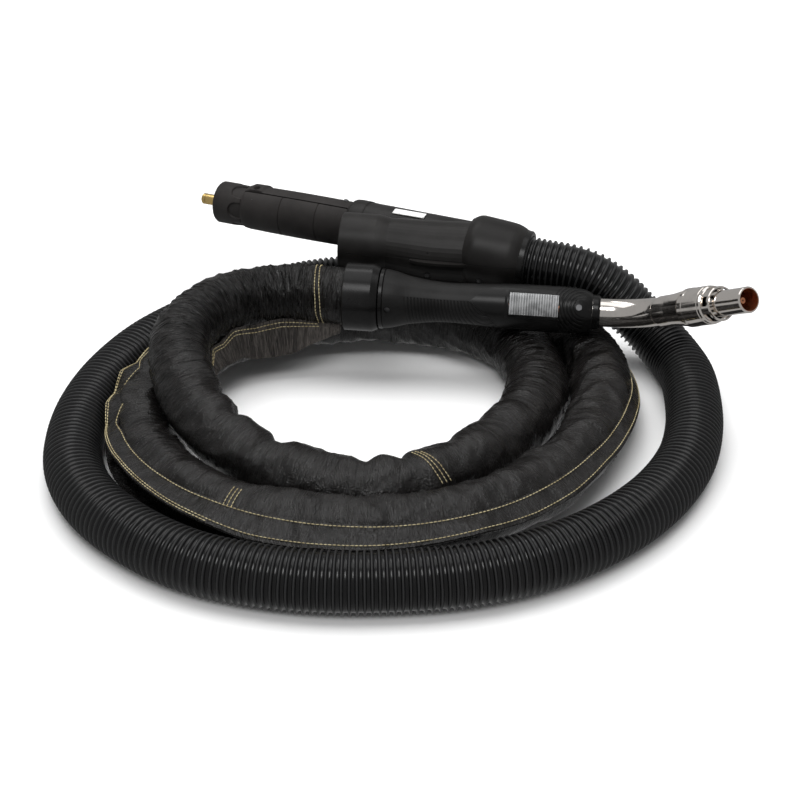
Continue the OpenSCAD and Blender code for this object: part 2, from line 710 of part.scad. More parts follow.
module trigger_pivot() {
    color("silver") in_gun() translate([pivot_x, pivot_y, 0])
        cylinder(h = pivot_length, r = pivot_d / 2, center = true);
}

switch_reach = 30;                    // the switch's distance from the pivot
switch_x = pivot_x - switch_reach;
switch_top = pad_bottom - 0.9 - switch_reach * sin(trigger_swing);
switch_low = core_d / 2 + 0.2;
plunger_r = 1.2;
module micro_switch() {
    color([0.1, 0.1, 0.1]) in_gun() difference() {
        translate([switch_x - 6, -switch_top, -4.5]) cube([18, switch_top - switch_low, 9]);
        translate([switch_x, 0, 0]) rotate([90, 0, 0]) cylinder(h = big, r = plunger_r + seat);
    }
}

module switch_plunger() {
    color("firebrick") in_gun() translate([switch_x, 0, 0]) rotate([90, 0, 0])
        translate([0, 0, switch_low + 2.3]) cylinder(h = pad_bottom - 0.2 - switch_low - 2.3, r = plunger_r);
}

// ---------------------------------------------------------------- neck
core_clamp_at = handle_end - 26;
core_clamp_length = 8;
bend_start = handle_end + 11;
jacket_from = core_clamp_at + core_clamp_length + 1;
jacket_end = 24;                      // end of the jacket, past the bend
insulator_at = 46;
diffuser_at = 60;
shroud_at = 4;
shroud_end = 84;
nozzle_end = shroud_end + nozzle_reach;

// A bent bar: straight, round the neck's bend and straight again, with a fine bead over each joint
bead = 0.05;
module bent_bar(x0, r, x1) {
    ring_x(x0, bend_start, r);
    translate([bend_start, -neck_radius, 0]) rotate([0, 0, 90 - neck_bend])
        rotate_extrude(angle = neck_bend, $fn = 180) translate([neck_radius, 0]) circle(r = r);
    translate([bend_start, -neck_radius, 0]) rotate([0, 0, -neck_bend]) translate([0, neck_radius, 0]) {
        ring_x(0, x1, r);
        ring_x(-0.8, 0.8, r + bead);
    }
    ring_x(bend_start - 0.8, bend_start + 0.8, r + bead);
}

module cable_coupler() {
    color("goldenrod") in_gun() ring_x(coupler_at - 12, coupler_at + 12, bore_r - 1.5, cable_d / 2 + run);
}

module core_clamp() {
    color([0.25, 0.25, 0.25]) in_gun() difference() {
        ring_x(core_clamp_at, core_clamp_at + core_clamp_length, bore_r - seat, core_d / 2 + seat);
        for (i = [0:5]) rotate([i * 60 + 30, 0, 0]) translate([0, 0, (bore_r + core_d / 2) / 2])
            ring_x(core_clamp_at - 1, core_clamp_at + core_clamp_length + 1, 1.5);
    }
}

module neck_lock_ring() {
    color([0.05, 0.05, 0.05]) in_gun() lathe_x([[handle_end + seat, neck_d / 2 + seat],
        [handle_end + seat, handle_front_d / 2 - 5.2], [handle_end + 5, neck_d / 2 + 2.4],
        [handle_end + 7, neck_d / 2 + 1.4], [handle_end + 7, neck_d / 2 + seat]]);
}

module neck_jacket() {
    color([0.78, 0.76, 0.73]) in_gun() difference() {
        bent_bar(jacket_from, neck_d / 2, jacket_end);
        bent_bar(jacket_from - 1, neck_d / 2 - neck_wall, jacket_end + 1);
    }
}

module neck_core() {
    color([0.72, 0.45, 0.25]) in_gun() difference() {
        bent_bar(coupler_at + seat, core_d / 2, diffuser_at);
        bent_bar(coupler_at - 1, core_bore / 2, diffuser_at + 1);
    }
}

// ---------------------------------------------------------------- shroud and nozzle
shroud_r = shroud_d / 2;
ring_wall = 1.4;
barrel_r = shroud_r - ring_wall - journal;       // the shroud under the airflow ring
shroud_in = nozzle_d / 2 + 2.4;
ring_from = 43;
ring_to = 70;
hole_row = ring_from + 3.2;
windows = 6;

module suction_shroud() {
    color([0.8, 0.79, 0.77]) in_nozzle() difference() {
        union() {
            lathe_x([[shroud_at, neck_d / 2 + seat], [shroud_at, neck_d / 2 + 0.9], [20, neck_d / 2 + 1],
                [27, neck_d / 2 + 1.6], [ring_from - 1.4, shroud_r - 0.6], [ring_from - run, shroud_r],
                [ring_from - run, barrel_r], [ring_to + run, barrel_r], [ring_to + run, barrel_r + 0.9],
                [ring_to + 2.5, barrel_r + 0.9], [ring_to + 3.5, barrel_r - 0.4],
                [shroud_end - 1, barrel_r - 0.4], [shroud_end, barrel_r - 1], [shroud_end, shroud_in],
                [jacket_end + 6, shroud_in], [jacket_end + 1, neck_d / 2 + seat]]);
            for (i = [0:2]) rotate([i * 120, 0, 0]) translate([ring_to, -1, nozzle_d / 2 + seat])
                cube([shroud_end - ring_to - 1, 2, shroud_in - nozzle_d / 2 + 0.4]);
        }
        for (i = [0:air_holes - 1]) rotate([i * 360 / air_holes, 0, 0])
            translate([hole_row, 0, shroud_in - 2]) cylinder(h = 9, r = 1.1);
        for (i = [0:windows - 1]) rotate([(i + 0.5) * 360 / windows, 0, 0])
            translate([ring_to + 4.5, -4.2, shroud_in - 2]) cube([shroud_end - ring_to - 7, 8.4, 9]);
    }
}

module airflow_ring() {
    color([0.8, 0.79, 0.77]) in_nozzle() difference() {
        lathe_x([[ring_from, shroud_r - ring_wall], [ring_from, shroud_r - 0.4],
            [ring_from + 0.6, shroud_r + 0.2], [ring_from + 5.8, shroud_r + 0.2],
            [ring_from + 6.6, shroud_r - 0.1], [ring_to - 0.6, shroud_r - 0.1],
            [ring_to, shroud_r - 0.6], [ring_to, shroud_r - ring_wall]]);
        for (i = [0:air_holes - 1]) rotate([i * 360 / air_holes, 0, 0])
            translate([hole_row, 0, barrel_r - 2]) cylinder(h = 9, r = 1.1);
    }
}

nozzle_in = nozzle_d / 2 - nozzle_wall;
module nozzle_insulator() {
    color([0.35, 0.2, 0.12]) in_nozzle()
        ring_x(insulator_at, diffuser_at + 2, nozzle_in - seat, core_d / 2 + seat);
}

module gas_diffuser() {
    color("goldenrod") in_nozzle() difference() {
        union() {
            ring_x(diffuser_at + seat, diffuser_at + 4, core_d / 2 - 0.4);
            ring_x(diffuser_at + 4, tip_at, core_d / 2 - 1.2);
        }
        ring_x(diffuser_at - 1, diffuser_at + 14, core_bore / 2);
        ring_x(diffuser_at + 13, tip_at + 1, tip_thread_r + seat);
        for (i = [0:5]) rotate([i * 60, 0, 0])
            translate([diffuser_at + 10, 0, core_bore / 2 - 0.6]) cylinder(h = 9, r = 1);
    }
}

tip_thread_r = 2.6;
tip_at = diffuser_at + 24;
tip_end = nozzle_end - tip_setback;
module contact_tip() {
    color([0.8, 0.42, 0.2]) in_nozzle() difference() {
        lathe_x([[diffuser_at + 14, 0], [diffuser_at + 14, tip_thread_r], [tip_at + seat, tip_thread_r],
            [tip_at + seat, tip_d / 2], [tip_end - 5, tip_d / 2], [tip_end, tip_d / 2 - 1.4], [tip_end, 0]]);
        ring_x(diffuser_at, tip_end + 1, wire_d / 2);
    }
}

module gas_nozzle() {
    color([0.8, 0.79, 0.77]) in_nozzle() lathe_x([[insulator_at + 1, nozzle_in],
        [insulator_at + 1, nozzle_d / 2], [nozzle_end - 8, nozzle_d / 2],
        [nozzle_end - 1, nozzle_d / 2 + 0.2], [nozzle_end, nozzle_d / 2 - 0.4], [nozzle_end, nozzle_in]]);
}

contact_pin();
pilot_pin_upper();
pilot_pin_lower();
plug_body();
plug_nut();
plug_shell_front();
plug_shell_back();
plug_screws();
housing_upper();
housing_lower();
housing_screws();
suction_socket();
hose_clamp_ring();
suction_hose();
leather_sleeve();
power_cable();
swivel_cuff();
swivel_stub();
swivel_ring();
handle_shell_left();
handle_shell_right();
handle_screws();
trigger_housing();
trigger();
trigger_pivot();
micro_switch();
switch_plunger();
cable_coupler();
core_clamp();
neck_lock_ring();
neck_jacket();
neck_core();
suction_shroud();
airflow_ring();
nozzle_insulator();
gas_diffuser();
contact_tip();
gas_nozzle();
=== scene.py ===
# %% [markdown]
# # A MIG welding torch with fume extraction, coiled on a floor
# This lesson dresses a CAD model of a welding torch. The CAD model gives every hard piece its
# place and size, and Blender gives the surfaces, the ribbed hose, the leather sleeve with its
# stitched flap, the light and the camera. Each step first says what the real thing is.

# %% Load the frame
import json
import math

import bmesh
import bpy
import numpy as np
from mathutils import Matrix, Vector, noise


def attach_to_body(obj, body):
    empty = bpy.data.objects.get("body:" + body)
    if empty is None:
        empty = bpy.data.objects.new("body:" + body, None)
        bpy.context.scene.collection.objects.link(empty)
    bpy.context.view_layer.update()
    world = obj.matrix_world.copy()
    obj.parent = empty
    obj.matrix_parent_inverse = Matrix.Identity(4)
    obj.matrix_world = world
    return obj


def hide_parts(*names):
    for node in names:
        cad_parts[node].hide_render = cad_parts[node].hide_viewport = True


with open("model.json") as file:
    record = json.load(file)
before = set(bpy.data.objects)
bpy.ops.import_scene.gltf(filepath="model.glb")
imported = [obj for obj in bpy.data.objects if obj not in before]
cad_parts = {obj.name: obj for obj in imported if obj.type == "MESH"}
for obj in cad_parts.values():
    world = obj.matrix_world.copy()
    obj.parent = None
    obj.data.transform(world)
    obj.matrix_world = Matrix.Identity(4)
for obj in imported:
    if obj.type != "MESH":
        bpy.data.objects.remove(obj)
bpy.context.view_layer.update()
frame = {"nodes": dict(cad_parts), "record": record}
MM = 0.001

# %% [markdown]
# ## Where the pieces are
# The torch was built from six frames: the plug, the Y housing, its cable branch, the hose's exit
# from it, the handle and the nozzle. A matrix for each one turns "40 mm along the handle" into a
# point of the scene, which is easier to read than a list of finished coordinates.

# %% The frames of the pieces
def turned(axis, degrees):
    return Matrix.Rotation(math.radians(degrees), 4, axis)


def moved(x, y, z):
    return Matrix.Translation(Vector((x, y, z)) * MM)


FLOOR_MM = -81
FLOOR = FLOOR_MM * MM
COIL = moved(181, -252, FLOOR_MM)
HEADING, LEAN, BRANCH = turned("Z", -9), turned("X", -6), turned("Z", -16)
PLUG_REACH, BRANCH_GAP = 148, 51
AT_PLUG = HEADING @ LEAN @ BRANCH
AT_HOUSING = (HEADING @ LEAN @ moved(0, -BRANCH_GAP, 0)
              @ Matrix.Translation(BRANCH @ Vector((PLUG_REACH, 0, 0)) * MM))
AT_CABLE_BRANCH = AT_HOUSING @ moved(0, BRANCH_GAP, 0) @ BRANCH
AT_EXIT = AT_HOUSING @ moved(130, 0, 0) @ turned("Z", -8) @ turned("Y", 5)
AT_HANDLE = COIL @ moved(-50, 61, 75) @ turned("Z", -7.6) @ turned("X", -37)
AT_NOZZLE = AT_HANDLE @ moved(237.2, -60, 0) @ turned("Z", -56) @ moved(0, 60, 0)


def place(spot, x, y=0.0, z=0.0):
    """The point of the scene at x, y and z mm in a frame."""
    return spot @ (Vector((x, y, z)) * MM)


EXIT_FROM = 12
print("Hose leaves the housing at", tuple(place(AT_EXIT, EXIT_FROM)))

# %% [markdown]
# ## Camera
# The camera stands in front of the coil and looks 32 degrees down, through a long lens, so the
# coil looks round and calm. A long lens from far away keeps the near turns from looking fat.

# %% Camera
LOOKS_DOWN = 32
camera_data = bpy.data.cameras.new("camera")
camera_data.lens = 73.8
camera_data.sensor_width = 36
camera = bpy.data.objects.new("camera", camera_data)
camera.location = (0.181, -1.5241, 0.7139)
camera.rotation_euler = (math.radians(90 - LOOKS_DOWN), 0, 0)
bpy.context.scene.collection.objects.link(camera)
bpy.context.scene.camera = camera
print("Camera at", tuple(camera.location))

# %% [markdown]
# ## Floor and light
# A product on a white table wants a pale floor and large soft lights. The widest light hangs
# overhead and only fills: it isn't seen in reflections, and neither is the floor, so black plastic
# stays black. A dim panel in its place whitens the top of the nickel, one behind draws the rims,
# and a soft box high in front puts a highlight on the middle of every round black piece.

# %% Floor and lights
def linked(name, data):
    made = bpy.data.objects.new(name, data)
    bpy.context.scene.collection.objects.link(made)
    return made


def finished_mesh(name, bm, smooth=True):
    """The bmesh as an object at the origin."""
    for face in bm.faces:
        face.smooth = smooth
    mesh = bpy.data.meshes.new(name)
    bm.to_mesh(mesh)
    bm.free()
    return linked(name, mesh)


def area_light(name, where, aim, size, power):
    data = bpy.data.lights.new(name, "AREA")
    data.shape = "RECTANGLE"
    data.size, data.size_y = size
    data.energy = power
    lamp = linked(name, data)
    lamp.location = where
    lamp.rotation_euler = (Vector(aim) - Vector(where)).to_track_quat("-Z", "Y").to_euler()
    return lamp


floor_mesh = bmesh.new()
bmesh.ops.create_grid(floor_mesh, x_segments=4, y_segments=4, size=8,
                      matrix=Matrix.Translation((0.18, 0, FLOOR - 0.0003)))
floor = finished_mesh("floor", floor_mesh, smooth=False)

middle = (0.18, -0.25, 0.0)
overhead = area_light("overhead", (0.15, 0.2, 1.9), middle, (2.6, 1.5), 42)
overhead.visible_glossy = floor.visible_glossy = False
area_light("sheen panel", (0.15, 0.2, 1.8), middle, (2.4, 1.1), 8)
area_light("behind", (-0.4, 1.3, 2.0), middle, (1.6, 0.5), 6)
area_light("soft box", (0.0, -1.3, 1.9), middle, (1.0, 0.75), 13)

world = bpy.data.worlds.new("studio")
bpy.context.scene.world = world
world.use_nodes = True
world.node_tree.nodes["Background"].inputs["Color"].default_value = (1, 1, 1, 1)
world.node_tree.nodes["Background"].inputs["Strength"].default_value = 0.32
bpy.context.scene.view_settings.view_transform = "Standard"

# %% [markdown]
# ## Shader maths that reads like maths
# A finish is a small graph of nodes. Writing `0.4 + 0.2 * dust` is clearer than wiring Math
# nodes by hand, so one class wraps a socket and answers to plus, minus and times, and one method
# makes any other node. A ramp's stops are pairs of a place and a shade.

# %% A socket that can be used in sums
class Value:
    def __init__(self, finish, socket):
        self.finish, self.socket = finish, socket

    def _sum(self, operation, first, second):
        return self.finish.node("ShaderNodeMath", {"operation": operation}, {0: first, 1: second})

    def __add__(self, other): return self._sum("ADD", self, other)
    def __radd__(self, other): return self._sum("ADD", other, self)
    def __sub__(self, other): return self._sum("SUBTRACT", self, other)
    def __rsub__(self, other): return self._sum("SUBTRACT", other, self)
    def __mul__(self, other): return self._sum("MULTIPLY", self, other)
    def __rmul__(self, other): return self._sum("MULTIPLY", other, self)
    def root(self): return self._sum("SQRT", self, 0)
    def sine(self): return self._sum("SINE", self, 0)
    def fraction(self): return self._sum("FRACT", self, 0)


class Finish:
    def __init__(self, name, **even):
        self.material = bpy.data.materials.new(name)
        self.material.use_nodes = True
        self.tree = self.material.node_tree
        self.shader = self.tree.nodes["Principled BSDF"]
        self.set(**even)

    def node(self, kind, settings=None, inputs=None, output=0):
        """Any node: its settings come first, then its inputs."""
        made = self.tree.nodes.new(kind)
        for key, value in (settings or {}).items():
            if key == "stops":
                stops = made.color_ramp.elements
                stops[0].position, stops[1].position = value[0][0], value[-1][0]
                for position, _ in value[1:-1]:
                    stops.new(position)
                for stop, (position, shade) in zip(sorted(stops, key=lambda s: s.position), value):
                    stop.color = (shade, shade, shade, 1)
            else:
                setattr(made, key, value)
        for key, value in (inputs or {}).items():
            self._feed(made.inputs[key], value)
        return Value(self, made.outputs[output])

    def _feed(self, socket, value):
        if isinstance(value, Value):
            self.tree.links.new(value.socket, socket)
        else:
            socket.default_value = value

    def set(self, **values):
        for key, value in values.items():
            self._feed(self.shader.inputs[key.replace("_", " ")], value)

    def spot(self, scale=(1, 1, 1), own_map=False, turn=(0, 0, 0)):
        """Object coordinates, or the piece's own map, stretched by scale."""
        source = self.node("ShaderNodeTexCoord", output=2 if own_map else 3)
        return self.node("ShaderNodeMapping", None,
                         {"Vector": source, "Scale": scale, "Rotation": turn})

    def own(self, spot):
        """Lengths in mm along the three axes of a piece's own frame."""
        back = spot.inverted()
        source = self.node("ShaderNodeTexCoord", output=3)
        return self.split(self.node("ShaderNodeMapping", None, {
            "Vector": source, "Scale": (1000, 1000, 1000), "Rotation": back.to_euler(),
            "Location": back.translation * 1000}))

    def split(self, vector):
        """The three parts of a vector."""
        x = self.node("ShaderNodeSeparateXYZ", None, {0: vector})
        _, y, z = x.socket.node.outputs
        return x, Value(self, y), Value(self, z)

    def distance(self, first, second):
        """How far a point is from an axis, from its two distances across it."""
        return (first * first + second * second).root()

    def noise(self, spot, scale, detail=2.0, roughness=0.5):
        return self.node("ShaderNodeTexNoise", None,
                         {"Vector": spot, "Scale": scale, "Detail": detail, "Roughness": roughness})

    def ramp(self, value, *stops):
        """A value looked up in stops of place and shade, for a value from 0 to 1."""
        return self.node("ShaderNodeValToRGB", {"stops": stops}, {0: value})

    def mix(self, factor, first, second):
        """A colour between two colours."""
        return self.node("ShaderNodeMix", {"data_type": "RGBA"},
                         {0: factor, 6: first, 7: second}, output=2)

    def bump(self, height, depth_mm, strength=1.0, over=None):
        inputs = {"Height": height, "Distance": depth_mm * MM, "Strength": strength}
        if over is not None:
            inputs["Normal"] = over
        return self.node("ShaderNodeBump", None, inputs)


finishes = {}
print("Finish class ready")

# %% [markdown]
# ## Moulded plastics
# The plug, the housing and the handle are injection moulded with a fine spark-eroded grain that
# scatters light, while the nut, the cuff and the trigger housing are smoother. Grain is a bump
# far finer than a millimetre, and a slow change of roughness stands for handling.

# %% Plastics
SCUFF = 0.12
GROOVE_DEPTH = 0.6
GROOVE_SHADE_AND_SEAM_COLOUR = (0.001, 0.001, 0.001, 1)


def plastic(name, colour, rough, grain_mm, grain_depth, relief=None):
    """Moulded plastic. relief(finish) gives 0 on the surface and 1 in a groove, where the colour is
    painted near black: painted shade in rib grooves, the dark seam line on the housing.
    """
    finish = Finish(name, Metallic=0.0, Specular_IOR_Level=0.28)
    spot = finish.spot()
    grain = finish.noise(spot, 1000 / grain_mm, 3)
    hands = finish.noise(spot, 28, 4, 0.6)
    light = tuple(min(1.0, c * 1.5 + 0.004) for c in colour) + (1,)
    tone = finish.mix(finish.ramp(hands, (0.42, 0), (0.72, 1)), colour + (1,), light)
    surface = finish.bump(grain, grain_depth)
    if relief:
        groove = relief(finish)
        # Painted shade: rib grooves are painted near black; on the housing the same mark is its dark seam
        # line.
        tone = finish.mix(0.8 * groove, tone, GROOVE_SHADE_AND_SEAM_COLOUR)
        surface = finish.bump(1 - groove, GROOVE_DEPTH, over=surface)
    finish.set(Base_Color=tone, Roughness=rough - SCUFF / 2 + SCUFF * hands, Normal=surface)
    finishes[name] = finish


def rings_round(finish, out, pitch, *stops):
    """1 in each groove of a set of rings, by the distance from their middle in mm."""
    return finish.ramp(0.5 + 0.5 * (out * (2 * math.pi / pitch)).sine(), *stops)


def housing_seam(finish):
    """The upper half of the Y housing ends in a fine dark line."""
    _, _, z = finish.own(AT_HOUSING)
    return finish.ramp(z * 0.1, (0.0, 0), (0.012, 1), (0.055, 1), (0.07, 0))


FRONT_SCREW_X = 218.2
TRIGGER_X, TRIGGER_Z = 131, 2


def thumb_ribs(finish):
    """Rings round the front screw of the trigger housing."""
    x, _, z = finish.own(AT_HANDLE)
    out = finish.distance(x - FRONT_SCREW_X, z)
    ring = rings_round(finish, out, 3.1, (0.12, 1), (0.45, 0))
    behind = finish.ramp(0.5 - (x - FRONT_SCREW_X) * 0.05, (0.4, 0), (0.6, 1))
    return ring * behind * finish.ramp(out * 0.025, (0.2, 0), (0.24, 1), (0.64, 1), (0.72, 0))


def palm_ribs(finish):
    """Arcs round the trigger, across the lower handle shell only."""
    x, _, z = finish.own(AT_HANDLE)
    out = finish.distance(x - TRIGGER_X, z - TRIGGER_Z)
    ring = rings_round(finish, out, 3.0, (0.15, 1), (0.5, 0))
    below = finish.ramp(0.5 - z * 0.05, (0.53, 0), (0.57, 1))
    return 0.9 * ring * below * finish.ramp(out * 0.01, (0.2, 1), (0.7, 1), (0.78, 0))


plastic("plug_black", (0.0135, 0.0118, 0.0112), 0.58, 0.55, 0.05)
plastic("handle_black", (0.0052, 0.005, 0.0049), 0.46, 0.5, 0.04, relief=palm_ribs)
plastic("housing_black", (0.0075, 0.0068, 0.0064), 0.42, 0.5, 0.03, relief=housing_seam)
plastic("gloss_black", (0.0042, 0.004, 0.004), 0.26, 0.7, 0.012)
plastic("trigger_black", (0.0045, 0.0044, 0.0044), 0.32, 0.6, 0.02, relief=thumb_ribs)
plastic("liner", (0.012, 0.012, 0.012), 0.5, 0.6, 0.03)
plastic("cable_rubber", (0.015, 0.015, 0.015), 0.6, 0.8, 0.05)
plastic("trigger_red", (0.5, 0.04, 0.03), 0.35, 0.8, 0.02)
plastic("insulator", (0.2, 0.09, 0.05), 0.5, 0.6, 0.03)
print("Plastics:", sorted(finishes))

# %% [markdown]
# ## Metals
# The neck and nozzle are nickel plated: nearly a mirror, with a slight warmth. The nozzle is copper
# inside, browned by heat, and the distance from its axis tells inside from outside. A metal's
# colour is its reflection, so Metallic is 1 and the roughness carries the wear.

# %% Metals
NICKEL = (0.93, 0.88, 0.83)


def metal(name, colour, rough):
    finish = Finish(name, Metallic=1.0)
    spot = finish.spot()
    smear = finish.noise(spot, 60, 5, 0.65)
    fine = finish.noise(spot, 900, 2)
    dull = tuple(c * 0.82 for c in colour) + (1,)
    finish.set(Base_Color=finish.mix(finish.ramp(smear, (0.4, 0), (0.75, 1)), colour + (1,), dull),
               Roughness=rough + 0.12 * finish.ramp(smear, (0.45, 0), (0.8, 1)),
               Normal=finish.bump(fine, 0.006))
    finishes[name] = finish
    return finish


metal("nickel", NICKEL, 0.11)
nozzle = metal("nozzle_nickel", NICKEL, 0.1)
metal("brass", (0.83, 0.6, 0.24), 0.24)
metal("copper", (0.80, 0.36, 0.2), 0.2)
metal("steel", (0.62, 0.62, 0.62), 0.3)
metal("dark_steel", (0.16, 0.16, 0.165), 0.42)

_, across_y, across_z = nozzle.own(AT_NOZZLE)
outside = nozzle.ramp(nozzle.distance(across_y, across_z) * 0.05, (0.48, 0), (0.482, 1))
soot = nozzle.noise(nozzle.spot(), 240, 4, 0.6)
inside = nozzle.mix(nozzle.ramp(soot, (0.4, 0), (0.7, 1)), (0.9, 0.42, 0.22, 1),
                    (0.4, 0.13, 0.06, 1))
nozzle.set(Base_Color=nozzle.mix(outside, inside, NICKEL + (1,)),
           Roughness=0.42 - 0.32 * outside)
print("Metals ready")

# %% [markdown]
# ## Trigger plastic
# The trigger is a light grey, slightly clear plastic with fine ribs. A low roughness and a cloudy change
# of colour make it look moulded and not painted.
# The grooves between the ribs are painted darker, as painted shade.

# %% Trigger plastic
TRIGGER_RIB = 2.27
trigger_grey = Finish("trigger_grey", Metallic=0.0, Roughness=0.3, Specular_IOR_Level=0.5)
along_x, _, _ = trigger_grey.own(AT_HANDLE)
rib_shade_and_relief = 0.5 + 0.5 * (along_x * (2 * math.pi / TRIGGER_RIB)).sine()
cloud = trigger_grey.noise(trigger_grey.spot(), 140, 3)
# Painted shade: the colour darkens in the grooves between the ribs; the cloud is a random change of tone.
shade = trigger_grey.ramp(0.3 * rib_shade_and_relief + 0.7 * cloud, (0.3, 0), (0.7, 1))
trigger_grey.set(Base_Color=trigger_grey.mix(shade, (0.11, 0.112, 0.115, 1), (0.4, 0.405, 0.41, 1)),
                 Normal=trigger_grey.bump(rib_shade_and_relief, 0.25))
finishes["trigger_grey"] = trigger_grey
print("Trigger plastic ready")

# %% [markdown]
# ## Finishes on the CAD pieces
# A CAD piece keeps its own mesh and only gets a better material in its slot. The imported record
# says which finish each piece is made of, so the finishes are handed out by name.

# %% Dress the CAD pieces
slot_of = {part["node"]: part["material_slot"] for part in frame["record"]["subparts"]}
slot_of.update(handle_shell_left="handle_black", handle_shell_right="handle_black",
               trigger_housing="trigger_black", gas_nozzle="nozzle_nickel",
               plug_screws="dark_steel", housing_screws="dark_steel", handle_screws="dark_steel")
for node_name, node_object in frame["nodes"].items():
    finish = finishes.get(slot_of.get(node_name))
    if finish:
        for material_slot in node_object.material_slots:
            material_slot.material = finish.material
print("Dressed", sum(slot_of.get(n) in finishes for n in frame["nodes"]), "CAD pieces")

# %% [markdown]
# ## The plug's pin, nut and handle
# The pin is turned brass with a bore for the wire, the nut has six round-ended recesses for the
# fingers, and the handle is two shells with a groove along their joint. All three are a profile
# spun round the plug's axis. A function of the place on the round then presses the recesses,
# seams and groove in, which keeps the profile itself simple.

# %% Spin a profile
def spun(name, spot, profile, sides, pressed=None):
    """A closed profile of lengths and distances, spun. pressed gives mm to add at a length and turn."""
    bm = bmesh.new()
    ring = [bm.verts.new((x, r, 0)) for x, r in profile]
    edges = [bm.edges.new(pair) for pair in zip(ring, ring[1:] + ring[:1])]
    bmesh.ops.spin(bm, geom=ring + edges, axis=(1, 0, 0), cent=(0, 0, 0), angle=2 * math.pi,
                   steps=sides, use_merge=True)
    for vert in bm.verts:
        x, y, z = vert.co
        out = math.hypot(y, z)
        grown = (out + pressed(x, math.degrees(math.atan2(z, y)), out)) / out if pressed else 1
        vert.co = spot @ (Vector((x, y * grown, z * grown)) * MM)
    bmesh.ops.recalc_face_normals(bm, faces=bm.faces)
    made = finished_mesh(name, bm)
    made.data.set_sharp_from_angle(angle=math.radians(32))
    return made


def dress(made, body, slot, finish, *nodes):
    made.data.materials.append(finishes[finish].material)
    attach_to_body(made, body)
    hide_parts(*nodes)
    print(made.name, "faces:", len(made.data.polygons))


def edge_of(inside, width):
    """0 outside, 1 well inside, with a slope as wide as width. inside is a distance in mm."""
    return min(1.0, max(0.0, inside / width))


# %% Pin
PIN_REACH, PIN_R, WIRE_BORE, CRIMP_END = 22, 5.5, 2.5, 80
pin = spun("brass_pin", AT_PLUG, [
    (-PIN_REACH, WIRE_BORE), (-PIN_REACH, 4.6), (-21.1, PIN_R), (-18, PIN_R), (-17.7, 5.2), (-17, 5.2),
    (-16.7, PIN_R), (10, PIN_R), (10, 6.5), (50.1, 6.5), (50.1, 9), (CRIMP_END, 9),
    (CRIMP_END, WIRE_BORE)], 48)
dress(pin, "hose_package", "brass", "brass", "contact_pin")

# %% Nut
NUT_R, RECESS_R, RECESS_FROM, RECESS_TURN, RECESS_DEPTH = 21, 8.5, 18, 118, 1.8


def nut_recess(x, turn, out):
    """Six recesses, round at the front and open at the rear."""
    if out < NUT_R - 1.2:
        return 0
    across = math.radians((turn - RECESS_TURN + 30) % 60 - 30) * NUT_R
    behind = min(0.0, x - RECESS_FROM - RECESS_R)
    return -RECESS_DEPTH * edge_of(RECESS_R - math.hypot(across, behind), 0.5)


nut_outside = [(0, 19.5), (0.5, 20.4), (1.5, NUT_R)] + [(x, NUT_R) for x in np.arange(2.2, 31, 0.6)]
nut_inside = [(32, 17), (28.1, 17), (28.1, 14.1), (22.1, 14.1), (22.1, 17), (0, 17)]
nut = spun("turned_nut", AT_PLUG, nut_outside + [(31, NUT_R), (32, 20)] + nut_inside, 180, nut_recess)
dress(nut, "nut", "gloss_black", "plug_black", "plug_nut")

# %% Handle of the plug
JOINT_TURN, SEAMS = 117, (76.3, 116.3)
GRIP_FROM, GRIP_LONG, GRIP_END, GRIP_R, SHOULDER_R = 32, 116, 147.9, 22.0, 20.9
PAD_FROM, PAD_TO, PAD_TURN, MM_PER_DEGREE = 34.3, 53.3, 66, 0.4
HOLE_X, HOLE_TURN, HOLE_R = 44, 14, 3


def handle_press(x, turn, out):
    """The joint's groove, two seams on the near shell, and a low pad round a hole on the far one."""
    if out < SHOULDER_R or x > GRIP_END:
        return 0
    from_joint = (turn - JOINT_TURN + 180) % 360 - 180
    groove = edge_of(0.55 - abs(math.radians((from_joint + 90) % 180 - 90)) * out, 0.3)
    seam = max(edge_of(0.6 - abs(x - at), 0.25) for at in SEAMS) if from_joint > 0 else 0
    pad = (edge_of(min(x - PAD_FROM, PAD_TO - x), 3)
           * edge_of(min(-from_joint - 1.3, PAD_TURN + from_joint) * MM_PER_DEGREE, 1.2))
    hole = edge_of(HOLE_R - math.hypot(x - HOLE_X, math.radians(from_joint + HOLE_TURN) * out), 0.5)
    return 1.7 * pad - 2.2 * groove - 0.6 * seam - 3 * hole * pad


handle_xs = sorted(set(np.round(np.arange(38, 146, 1.1), 2))
                   | {at + d for at in SEAMS for d in (-0.7, -0.3, 0.3, 0.7)})
grip = [(x, GRIP_R + 0.55 * math.sin(math.pi * (x - GRIP_FROM) / GRIP_LONG)
         + 0.2 * (x - GRIP_FROM) / GRIP_LONG) for x in handle_xs]
shoulder = [(32.2, 14.2), (32.2, SHOULDER_R), (33, 21.5), (35, 21.8)]
spigot = [(147.8, 21.9), (GRIP_END, 19.5), (160, 19.5), (160, 16.5), (50, 16.5), (50, 14.2)]
plug_handle = spun("plug_handle", AT_PLUG, shoulder + grip + spigot, 300, handle_press)
dress(plug_handle, "hose_package", "plug_black", "plug_black", "plug_shell_front", "plug_shell_back")

# %% [markdown]
# ## The hose's route
# The hose leaves the housing, drops to the floor, goes once round outside as bare ribbed hose and
# then twice more inside its leather sleeve, climbing over itself to the handle. The route is a
# list of points with one smooth curve through them, and it is measured along its length.

